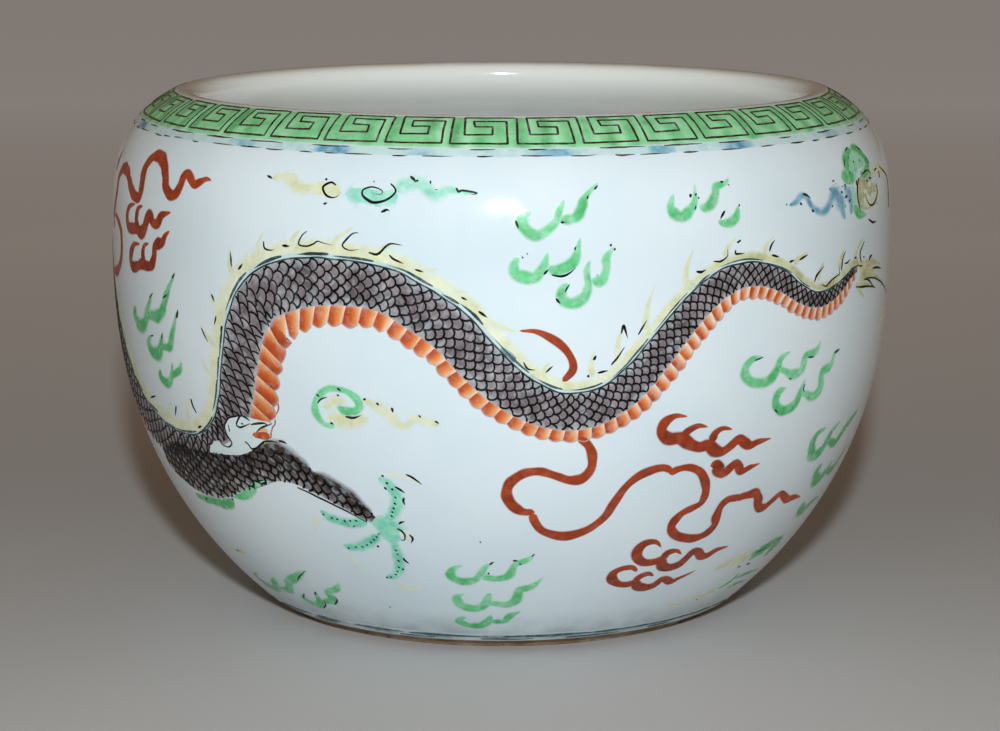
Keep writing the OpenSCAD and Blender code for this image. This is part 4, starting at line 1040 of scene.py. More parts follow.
# Iron-red ribbons and flame clouds: degrees, millimetres and half the stroke's width
RIBBONS = [
    [(-75, 70.4, 0.4), (-76.2, 72.2, 0.6), (-75, 74, 0.7), (-73.6, 76.6, 0.7), (-73.2, 79, 0.8),
     (-71, 80.6, 0.8), (-68, 80.2, 0.8), (-66, 78.6, 0.8), (-64, 77.3, 0.8), (-62, 77, 0.8),
     (-61.2, 78, 0.85), (-61.2, 80, 0.85), (-61.3, 81.5, 0.85), (-60.5, 83, 0.85), (-59, 84, 0.85),
     (-57, 83.8, 0.85), (-55.5, 82.8, 0.85), (-54.3, 81.2, 0.85), (-53.6, 79.6, 0.8), (-52.2, 78.6, 0.75),
     (-50.8, 78.9, 0.75), (-50, 80.2, 0.75), (-49.6, 81.6, 0.7), (-48.8, 82.1, 0.7), (-47.8, 81.4, 0.65),
     (-46.8, 80.7, 0.6), (-45.6, 81.2, 0.5), (-44.6, 81.7, 0.35), (-43.4, 81.6, 0.1)],
    [(-80, 63.2, 0.4), (-76, 63.4, 0.7), (-73.4, 64, 0.7), (-70.8, 65.8, 0.7), (-69.8, 68.2, 0.7),
     (-70.2, 71, 0.7), (-73.2, 72.6, 0.5), (-75, 72.6, 0.1)],
    [(-77.4, 79.4, 0.4), (-76.6, 81.2, 0.6), (-75.4, 83.4, 0.2)],
    [(2.3, 62.2, 0.15), (4.5, 62, 0.35), (7, 60.6, 0.5), (8.8, 58.6, 0.5), (9.3, 56.4, 0.55),
     (8, 54.6, 0.3)],
    [(10.4, 46, 0.5), (11.8, 44.6, 0.6), (12.5, 42.6, 0.65), (12.4, 40.8, 0.6), (11.4, 39.3, 0.7),
     (9.8, 39, 0.65), (7.8, 39.7, 0.6), (5.4, 40.6, 0.55), (3, 40.3, 0.65), (1.2, 38.8, 0.7),
     (0.7, 37, 0.75), (1.3, 35.3, 0.7), (2.8, 33.8, 0.65), (4.8, 33.6, 0.5)],
    [(4.4, 33.4, 0.5), (4.9, 31.8, 0.55), (6, 30.2, 0.6), (8, 29.2, 0.7), (10, 29, 0.75),
     (12, 29.5, 0.65), (14, 30.8, 0.6), (15.4, 32.4, 0.6), (16.4, 34.6, 0.6), (17.6, 37, 0.6),
     (19.4, 38.9, 0.6), (21.6, 39.9, 0.6), (23.4, 40, 0.6), (24.6, 39.4, 0.5)],
    [(24.2, 39, 0.5), (25.8, 39.6, 0.5), (27.6, 39.6, 0.55), (29.4, 38.6, 0.6), (30.7, 36.8, 0.65),
     (31.3, 34.8, 0.65), (31, 33, 0.6), (29.6, 32.2, 0.55), (28, 31.4, 0.6), (27, 30, 0.7),
     (26.9, 28.6, 0.7), (28, 27.3, 0.7), (30, 26.4, 0.7), (32.2, 26, 0.7), (34.2, 26.6, 0.7),
     (35.2, 28.2, 0.7), (34.9, 30, 0.7), (35.2, 31.8, 0.65), (36.4, 32.8, 0.65), (38.6, 32.7, 0.6)],
    [(37.8, 32.6, 0.5), (40, 32.9, 0.65), (41.8, 32.9, 0.75), (43, 31.4, 0.8), (44, 29.8, 0.75),
     (45.4, 29.5, 0.65), (46.8, 30.4, 0.6), (48.4, 31.4, 0.6), (50, 30.6, 0.65), (51.4, 29.7, 0.65),
     (53.4, 29.7, 0.5), (56, 29.2, 0.1)]
]
FLAMES = [
    [(-62.8, 75.9, 0.1), (-65.2, 75.3, 0.45), (-66.4, 73.8, 0.75), (-65.8, 72.1, 0.8), (-64, 72, 0.8),
     (-62.2, 72.2, 0.9), (-60.6, 71.8, 1), (-59.3, 72.6, 0.9), (-58.4, 74.2, 0.85), (-57.4, 74.8, 0.85),
     (-56.4, 73.8, 0.85), (-55.2, 73.9, 0.8), (-54, 75.2, 0.6), (-51.6, 76, 0.1)],
    [(-60, 76, 0.1), (-61.6, 75.3, 0.5), (-62.3, 73.6, 0.7), (-61.6, 72, 0.8)],
    [(-61, 70, 0.1), (-63.2, 69.6, 0.45), (-64.6, 68.2, 0.75), (-65, 66.8, 0.8), (-63.8, 66, 0.8),
     (-62, 66.4, 0.8), (-60.4, 67, 0.8), (-58.8, 66.9, 0.8), (-57.2, 67.2, 0.8), (-56.3, 68.6, 0.7),
     (-56, 70.2, 0.8), (-55, 70.8, 0.8), (-53.8, 71.2, 0.7), (-52.9, 72.4, 0.45), (-51.8, 73.1, 0.1)],
    [(-57.8, 70.5, 0.1), (-59.3, 70, 0.4), (-60, 68.6, 0.6), (-59.6, 67.2, 0.7)],
    [(25.9, 48.1, 0.1), (24, 48.3, 0.4), (22.5, 47.4, 0.8), (22.2, 46, 0.9), (23.4, 44.8, 0.9),
     (25.2, 44.7, 0.9), (26.8, 43.6, 1), (28.4, 42.9, 0.8), (30, 43, 0.9), (31.2, 42, 0.9),
     (32.6, 41.6, 0.8), (34, 42.4, 0.75), (35.2, 43.3, 0.75), (36.4, 42.6, 0.75), (37.6, 41.9, 0.7),
     (39, 42.2, 0.55), (41.6, 42.5, 0.1)],
    [(29.4, 46, 0.1), (27.8, 46.4, 0.4), (26.4, 45.8, 0.6), (25.4, 44.8, 0.7)],
    [(33.7, 45.1, 0.1), (32, 45.5, 0.4), (30.8, 44.8, 0.6), (30.4, 43.4, 0.7)],
    [(31, 39.4, 0.5), (32, 39.6, 0.8), (32.6, 38.6, 1), (33.6, 37.8, 0.9), (34.8, 38.6, 0.7),
     (35.6, 39.2, 0.7), (36.4, 38.4, 0.7), (37.2, 37.6, 0.7), (38.6, 38, 0.45), (40.6, 38.4, 0.1)],
    [(26.2, 25.1, 0.1), (24.8, 26.3, 0.4), (23, 26.3, 0.7), (22, 25, 0.9), (22.4, 23.4, 0.8),
     (23.8, 22.2, 0.7), (25.6, 22, 0.7), (27, 22.2, 0.8), (27.8, 20.8, 0.9), (29.4, 20.2, 0.8),
     (31.2, 20.6, 0.8), (32.2, 21.8, 0.7), (33, 23, 0.75), (34.2, 22.8, 0.75), (35.4, 21.6, 0.75),
     (36.8, 21.5, 0.65), (38.4, 22.4, 0.5), (41, 22.7, 0.1)],
    [(30.8, 22.9, 0.1), (29.4, 23.8, 0.4), (27.8, 23.6, 0.7), (27.4, 22.2, 0.8)],
    [(23.2, 20.3, 0.3), (22, 21.3, 0.5), (20.2, 21.3, 0.5), (18.9, 20.4, 0.7), (19, 19, 0.75),
     (20.4, 17.8, 0.7), (22.2, 17.4, 0.65), (23.6, 17.6, 0.7), (24.6, 16.6, 0.85), (26.4, 16, 0.8),
     (28, 16.4, 0.75), (29, 17.6, 0.7), (30, 17.4, 0.7), (31.4, 16.5, 0.6), (33, 17.2, 0.4),
     (36, 18.3, 0.08)],
    [(27, 18.7, 0.1), (25.6, 19.4, 0.45), (24.2, 18.9, 0.6), (23.6, 17.8, 0.7)]
]
# A flame cloud round its own middle, and the unseen places that it is painted again
FLAME_SHAPE = [
    [(-4.8, 2.1, 0.1), (-6.2, 3.2, 0.4), (-8.2, 3.2, 0.7), (-9, 1.6, 0.9), (-8, 0, 0.8),
     (-6.4, -0.9, 0.7), (-4.4, -0.9, 0.8), (-3.2, -2.2, 0.9), (-1.6, -2.8, 0.8), (0.2, -2.4, 0.8),
     (1.2, -1.2, 0.7), (2, 0, 0.75), (3.2, -0.2, 0.75), (4.4, -1.4, 0.75), (5.8, -1.5, 0.65),
     (7.4, -0.6, 0.5), (10, -0.3, 0.1)],
    [(-0.2, -0.1, 0.1), (-1.6, 0.8, 0.4), (-3.2, 0.6, 0.7), (-3.6, -0.8, 0.8)]
]
FLAMES_AT = [
    (-118, 80, -1), (-150, 80, 1), (-92, 28, -1), (-142, 24, -1), (-185, 44, 1), (-215, 72, 1),
    (-228, 34, -1), (-262, 54, 1), (-204, 18, 1)
]


def moved(path, at):
    """A shape's path set down at a place, mirrored where the place's size is below zero."""
    return [(at[0] + p[0] * at[2], at[1] + p[1] * abs(at[2]), p[2]) for p in path]


RED_SIZE = 1.3
FLAME_SIZE = 1.22
ribbons = Paint()
for path in RIBBONS:
    ribbons.stroke(thick(path, RED_SIZE), ENAMEL, tone=0.52, pool=0.3)
ribbons.piece("red_ribbons", RED, "iron_red", "flame_ribbons")
flames = Paint()
for path in FLAMES + [moved(p, at) for at in FLAMES_AT for p in FLAME_SHAPE]:
    flames.stroke(thick(path, FLAME_SIZE), ENAMEL, tone=0.45, pool=0.35)
flames.piece("red_flame_clouds", RED, "iron_red", "flame_clouds")

# Green clouds: degrees, millimetres and the share of the brush's half width, which grows round the side
CLOUD_HALF = 1.05
CLOUDS = [
    [(3.8, 79.4, 0.3), (2.6, 78.2, 1), (3, 76.8, 1.1), (4.4, 75.8, 1), (5.8, 76.4, 0.9), (7, 77.8, 0.7),
     (7.4, 79.2, 0.6), (8.2, 80.8, 0.2)],
    [(7.4, 78, 0.5), (8.6, 78, 0.9), (9.8, 78.4, 1), (10.4, 79.6, 0.9), (11, 81.2, 0.6), (12.8, 83.2, 0.2)],
    [(2.2, 72.8, 0.3), (1.6, 71.6, 0.9), (1.8, 70.4, 1.1), (3.2, 69.8, 1.1), (4.4, 70, 1),
     (5.4, 71.4, 0.8), (6, 73.4, 0.2)],
    [(5.8, 71.2, 0.6), (7.2, 70.8, 1), (8.6, 71.4, 1), (9.6, 72.8, 0.8), (10.2, 75.6, 0.1)],
    [(8.8, 68.8, 0.3), (7.8, 68, 0.8), (7.8, 66.6, 1), (9.2, 66, 1.1), (10.6, 66.8, 0.9),
     (11.2, 68.6, 0.7), (11, 70.6, 0.6), (11.4, 72.2, 0.2)],
    [(11.6, 69.4, 0.5), (12.6, 69, 1), (13.2, 69.6, 1), (13.6, 71, 0.7), (13.6, 72.4, 0.7),
     (14.6, 74, 0.2)],
    [(23.2, 81.2, 0.2), (22.6, 79.2, 0.9), (23.4, 78, 1.1), (24.4, 77.8, 1), (25.4, 78.6, 0.9),
     (26.2, 79.8, 0.6), (26.6, 82.4, 0.2)],
    [(26.8, 79.2, 0.5), (27.8, 78.8, 0.9), (28.8, 79.4, 1), (29.6, 80.8, 0.8), (29.8, 81.8, 0.7),
     (31.4, 82.2, 0.5), (32.2, 83, 0.1)],
    [(29.6, 76.8, 0.3), (30.4, 76.4, 0.7), (31.6, 76.4, 0.9), (32.6, 77.2, 0.8), (33, 78.8, 0.2)],
    [(37.8, 55.9, 0.2), (35.6, 55.6, 0.7), (34.6, 54, 1), (36, 52.2, 1), (39, 52, 1), (40.6, 53.6, 1),
     (41.2, 55.2, 0.7), (43, 56, 0.2)],
    [(41, 53.6, 0.5), (42, 53.2, 0.6), (43.8, 52.3, 0.9), (45.8, 52.8, 1), (46.4, 54.8, 0.8),
     (48.6, 55.2, 0.7), (49.8, 56.8, 0.2)],
    [(43, 50.4, 0.2), (41.4, 49.8, 0.9), (41.2, 48, 1), (43, 46.7, 1), (45.4, 47.4, 1), (46.2, 49.2, 0.8),
     (47, 51.2, 0.2)],
    [(46.4, 49, 0.5), (47.4, 48.7, 0.6), (49.4, 47.9, 1), (51, 49, 1.1), (50.9, 51.6, 0.9),
     (53, 52.2, 0.8), (53.6, 54, 0.6), (55.2, 54.6, 0.2)],
    [(55.6, 41.6, 0.2), (53.2, 41, 0.7), (52.6, 39.2, 1), (54, 37.2, 1), (56.6, 37.6, 0.9),
     (57.8, 40.2, 0.7), (60.4, 41.9, 0.2)],
    [(57.4, 39, 0.5), (58.8, 38.6, 0.6), (61, 37.9, 0.8), (63.2, 39.6, 0.7), (65.6, 41, 0.7),
     (68.4, 42.2, 0.2)],
    [(59, 34.8, 0.3), (58, 33.2, 1), (59.6, 31.4, 1.2), (62, 32.2, 0.8), (63.6, 34.4, 0.2)],
    [(62.4, 32.8, 0.6), (65.4, 32, 0.8), (67.6, 33.2, 0.7), (69.6, 35.6, 0.2)],
    [(58.4, 27.6, 0.3), (59.4, 26, 1.1), (61.4, 25.1, 1), (64, 26.4, 0.7), (67.4, 26.4, 0.2)],
    [(-6.2, 23.2, 0.3), (-7.8, 22.3, 0.7), (-8.3, 20.6, 1), (-6.6, 19.5, 1), (-4.4, 20, 0.8),
     (-3.3, 21.6, 0.7), (-2.6, 22.8, 0.6), (-1.4, 23.8, 0.2)],
    [(-3.4, 20.6, 0.5), (-2.4, 20.5, 0.7), (-0.6, 20.3, 0.9), (1.2, 21, 0.9), (2.1, 23.2, 0.7),
     (4, 24.3, 0.6), (5.2, 25.6, 0.1)],
    [(-6.4, 16.8, 0.2), (-7.9, 15.6, 0.8), (-7.4, 13.7, 1), (-5, 12.9, 1.2), (-3, 14, 1), (-2, 17, 0.4)],
    [(-2.6, 14.4, 0.5), (-1.5, 14.3, 0.7), (1, 14, 1), (2.6, 15.2, 1), (3.1, 17.6, 0.9), (5, 18.3, 0.8),
     (7, 20.6, 0.1)],
    [(-6.8, 10.8, 0.2), (-8.3, 9.2, 1), (-6.4, 8, 1), (-4, 8.1, 1), (-2.6, 9.6, 0.9), (-2, 11.2, 0.3)],
    [(-2.6, 9.4, 0.5), (-1.5, 9.3, 0.7), (0.6, 9.4, 0.8), (1.6, 11, 0.8), (3.6, 12.2, 0.2)],
    [(-54.4, 13.2, 0.2), (-56.6, 12, 0.8), (-55.6, 10.4, 0.9), (-51.8, 10, 1), (-49.8, 12, 0.9),
     (-47.6, 14.2, 0.2)],
    [(-49.8, 11, 0.5), (-48.8, 11, 0.8), (-46, 11.2, 1), (-44, 13.6, 1), (-41.4, 15.2, 0.9),
     (-39, 16.6, 0.9), (-36.2, 18.4, 0.1)],
    [(-42, 11.2, 0.3), (-43, 9.6, 0.9), (-40.4, 8.5, 1), (-38.3, 10, 1), (-37.8, 12.6, 0.5)],
    [(-38, 10.2, 0.5), (-36.6, 10.4, 0.8), (-34.2, 11.4, 1.1), (-34, 13.4, 0.9), (-31.4, 14.8, 0.8),
     (-29.8, 16.8, 0.1)],
    [(-58.6, 29, 0.4), (-55.4, 28.9, 0.7), (-52.8, 29.2, 0.8), (-49.8, 29.2, 0.9), (-47.6, 29.8, 0.9),
     (-46, 31, 0.4)],
    [(-46.4, 31.6, 0.4), (-43.6, 31.9, 0.9), (-41.4, 33, 1), (-40.4, 33.8, 0.9), (-39.2, 35, 0.7),
     (-37.2, 35.6, 0.5), (-36.2, 36, 0.2)],
    [(-63.4, 60, 0.3), (-64.2, 58.4, 0.9), (-62.4, 56.9, 1.1), (-60.2, 58, 0.9), (-59, 60, 0.7),
     (-57.4, 62.8, 0.3)],
    [(-59.6, 59, 0.5), (-58, 59.3, 0.7), (-56, 59.5, 1), (-54.2, 60.8, 0.8), (-53.2, 63, 0.7),
     (-50.6, 67, 0.1)],
    [(-58.6, 56, 0.3), (-59.8, 54.6, 0.8), (-58.2, 53.3, 1), (-56.2, 54, 0.9), (-54.8, 57, 0.3)],
    [(-55.8, 54.8, 0.5), (-54.6, 54.9, 0.6), (-53, 55.3, 0.8), (-52, 57.6, 0.6), (-50.3, 61.2, 0.2)],
    [(-56.6, 51, 0.3), (-57.2, 49.8, 0.7), (-55.4, 49, 0.8), (-53.8, 50.2, 0.6), (-52.8, 52.8, 0.2)],
    [(-53.8, 50.6, 0.5), (-52.6, 51, 0.6), (-51, 52, 0.6), (-50.4, 53.4, 0.2)],
    [(-23, 46.8, 0.5), (-24.6, 47, 0.6), (-25.7, 48.4, 0.7), (-25.8, 50, 0.7), (-24.8, 51.7, 0.65),
     (-23.2, 52.7, 0.6), (-21, 52.4, 0.6), (-19.6, 51.4, 0.7), (-19.2, 50.2, 0.85), (-20, 49.4, 0.85),
     (-21.4, 49.4, 0.75), (-22.6, 49.9, 0.4)],
    [(61.2, 84.8, 0.5), (59, 84, 0.9), (57.8, 83, 1), (57.6, 82.2, 1), (57.8, 81.2, 0.8)],
    [(61, 84.8, 0.5), (62.6, 84.6, 0.9), (63.8, 84.2, 0.9), (64.6, 83, 0.9), (65.2, 82.2, 0.9),
     (65, 81.4, 0.9), (63.2, 80.6, 0.8), (61.4, 80.6, 0.4)],
    [(55.2, 80.8, 0.8), (57.4, 80.8, 1.2), (59.6, 80.4, 0.7)],
    [(55.3, 76.9, 0.6), (55, 76.2, 0.5)],
    [(57.4, 76, 0.5), (58.6, 75.6, 0.7), (59.6, 74.8, 0.7), (62.2, 74.4, 0.3)],
    [(59.6, 20.4, 0.6), (57.6, 19.8, 1), (54.8, 19.6, 1.2), (53.2, 19, 1.2), (51.6, 18.6, 1),
     (49.8, 19.2, 0.5)],
    [(60.2, 19, 0.5), (58.2, 18.2, 1), (56.8, 16.4, 0.5)],
    [(50.2, 17.4, 0.4), (53, 18.2, 0.8), (55.4, 17.6, 0.3)],
    [(49.8, 13, 0.3), (54.2, 13, 0.6), (60.4, 12.6, 0.4)],
    [(51, 10.4, 0.2), (53.8, 10.6, 0.5), (59, 10.2, 0.3)],
    [(50.8, 14.4, 0.3), (50.4, 12.8, 0.5), (49.2, 11.8, 0.5), (47.2, 11.2, 0.3)]
]
CLOUD_SHAPE = [
    [(-4.2, 1.2, 0.3), (-5.8, 0.3, 0.7), (-6.3, -1.4, 1), (-4.6, -2.5, 1), (-2.4, -2, 0.8),
     (-1.3, -0.4, 0.7), (0.6, 1.8, 0.3)],
    [(-1.4, -1.4, 0.5), (-0.4, -1.5, 0.7), (1.4, -1.7, 0.9), (3.2, -1, 0.9), (4.1, 1.2, 0.7),
     (6, 2.3, 0.6), (7.2, 3.6, 0.1)]
]
CLOUDS_AT = [
    (-112, 20, 1), (-112, 12, 1), (-88, 14, 1), (-160, 70, 1), (-166, 34, 1), (-164, 26, 1),
    (-176, 14, 1), (-194, 60, 1), (-192, 82, 1), (-212, 52, 1), (-232, 58, 1), (-240, 78, 1),
    (-250, 22, 1), (-256, 14, 1), (-268, 80, 1), (-272, 34, 1), (-210, 30, 1), (-250, 42, 1)
]
# The right cloud's lobe, between its left and its right edge
LOBE_LEFT = [(61, 84.6), (59.6, 83.8), (58.8, 82.6), (58.6, 81.4)]
LOBE_RIGHT = [(61.4, 84.6), (63, 84.2), (64.4, 83), (64.8, 81.8)]
clouds = Paint()
for path in CLOUDS + [moved(p, at) for at in CLOUDS_AT for p in CLOUD_SHAPE]:
    turned = np.interp(abs(path[0][0]), [48, 58], [0, 1])
    tone = rng.uniform(0.4, 0.55) - 0.3 * turned
    clouds.stroke(thick(path, CLOUD_HALF * (1 + 0.3 * turned)), LOOSE, tone=tone, pool=0.45, fade=0.3)
clouds.fill(LOBE_LEFT, LOBE_RIGHT, 0.05, tone=0.5, cover=0.75)
clouds.piece("green_cloud_strokes", GREEN, "green_enamel", "green_clouds")

# Pale yellow, turquoise and blue wisps
YELLOW_WISPS = [
    [(-32.4, 82.8, 0.5), (-30, 83.2, 0.9), (-28.6, 82.2, 0.9), (-27, 81.6, 0.8), (-25.6, 82, 1)],
    [(-26.2, 81.8, 1), (-23.8, 81.8, 1.7), (-21.6, 81.4, 1.1)],
    [(-24, 48.2, 0.8), (-21, 47.8, 1.2), (-18, 48.6, 0.6)],
    [(-24.4, 49.4, 0.6), (-22.8, 50.8, 0.8), (-21.2, 51, 0.6)],
    [(-18.6, 51.2, 0.4), (-16.6, 50.4, 0.8), (-15.2, 49.4, 0.9), (-14, 47.8, 0.6), (-12.8, 47.7, 0.5),
     (-11.4, 48.8, 0.7), (-9.8, 48.4, 0.6), (-8.4, 47.8, 0.2)],
    [(63.2, 78, 0.5), (62.4, 77, 0.7), (64, 75.8, 0.8), (66, 76, 0.8), (67.6, 77.4, 0.8),
     (66.8, 78.6, 0.7)],
    [(66, 80, 0.3), (67.8, 80.6, 0.7), (71.2, 80.6, 0.9), (75, 78.8, 0.9), (75.8, 76.6, 0.8),
     (75.4, 73.8, 0.4)],
    [(-58, 18, 0.3), (-55, 18.4, 0.7), (-51, 18.2, 0.3)],
    [(40.6, 17.4, 0.3), (44.8, 18.2, 0.9), (47.4, 18.4, 1.3), (49.6, 19, 1), (51.6, 18.2, 0.5)],
    [(37.8, 10.2, 0.3), (43, 10.2, 0.7), (46.4, 11, 0.8), (49.6, 12.2, 0.5)],
    [(34.2, 9.8, 0.3), (36.4, 9.4, 0.5), (38.6, 9.2, 0.3)],
    [(80, 56.5, 0.5), (74.8, 56.6, 0.7), (72.2, 55.8, 0.6), (70.2, 55, 0.4)]
]
# The olive wash of the right cloud, between its lower and its upper edge
OLIVE_LOW = [(60.8, 80.2), (59.8, 78.8), (59.6, 77), (60.2, 75)]
OLIVE_HIGH = [(62, 80.6), (66, 80.4), (68.4, 78.6), (67.6, 75.4)]
TURQUOISE_WISPS = [
    [(61.4, 84.2, 0.9), (60.4, 82.8, 1.6), (59.6, 81.4, 1.4), (59, 80, 0.8)],
    [(62.6, 84, 0.7), (63.8, 82.8, 1.3), (64.4, 81.6, 0.8)],
    [(58, 79.6, 0.5), (58.4, 78, 0.8), (58.4, 76, 0.8), (58.8, 74.6, 0.5)],
    [(-21, 81, 0.7), (-18.6, 81.2, 1.7), (-16, 80.8, 1.9), (-13.6, 81.2, 1.3)],
    [(-14, 81.8, 1), (-12.8, 82.8, 1), (-11.6, 83.2, 1), (-10.2, 82.8, 0.9), (-9.2, 81.6, 0.8),
     (-8.4, 81.2, 0.7), (-7.6, 81.8, 0.7), (-6.8, 82.2, 0.6), (-5.4, 82, 0.4), (-3.8, 81.8, 0.2)]
]
BLUE_WISPS = [
    [(42.2, 78, 0.3), (43.6, 78.4, 0.5), (44.8, 79.1, 0.6), (45.8, 78.9, 0.6), (46.8, 77.6, 0.6),
     (47.8, 76.8, 0.6), (49.4, 76.2, 0.7), (50.8, 77, 0.8), (52.2, 78.6, 0.9), (53, 78.6, 0.9),
     (54, 77.6, 0.9), (54.6, 75.6, 0.8), (55.2, 74.6, 0.5)],
    [(51.6, 79.6, 0.8), (52.8, 78.6, 1.5), (54.2, 77.2, 1.6), (54.8, 75.6, 0.9)],
    [(55.6, 79.8, 0.8), (56.6, 78.4, 1.2), (57.2, 76.6, 1), (57, 75, 0.5)],
    [(-1.4, 59, 0.5), (-0.9, 58.6, 0.6), (-0.4, 58.4, 0.3)]
]
WISP_SIZE = 1.5
BLUE_SIZE = 1.25
wisps = Paint()
for path in YELLOW_WISPS:
    wisps.stroke(thick(path, WISP_SIZE), WASH, cover=0.85, tone=0.62)
wisps.fill(OLIVE_LOW, OLIVE_HIGH, 0.02, tone=0.2, cover=0.9)
wisps.piece("yellow_wisp_wash", YELLOW, "yellow_enamel", "yellow_wisps")
turquoise = Paint()
for path in TURQUOISE_WISPS:
    turquoise.stroke(thick(path, WISP_SIZE), WASH, cover=0.8, tone=0.55)
turquoise.piece("turquoise_wisp_wash", TURQUOISE, "turquoise_enamel")
blue = Paint()
for path in BLUE_WISPS:
    blue.stroke(thick(path, BLUE_SIZE), WASH, cover=0.9, tone=0.35)
blue.piece("blue_wisp_wash", BLUE, "blue_enamel")

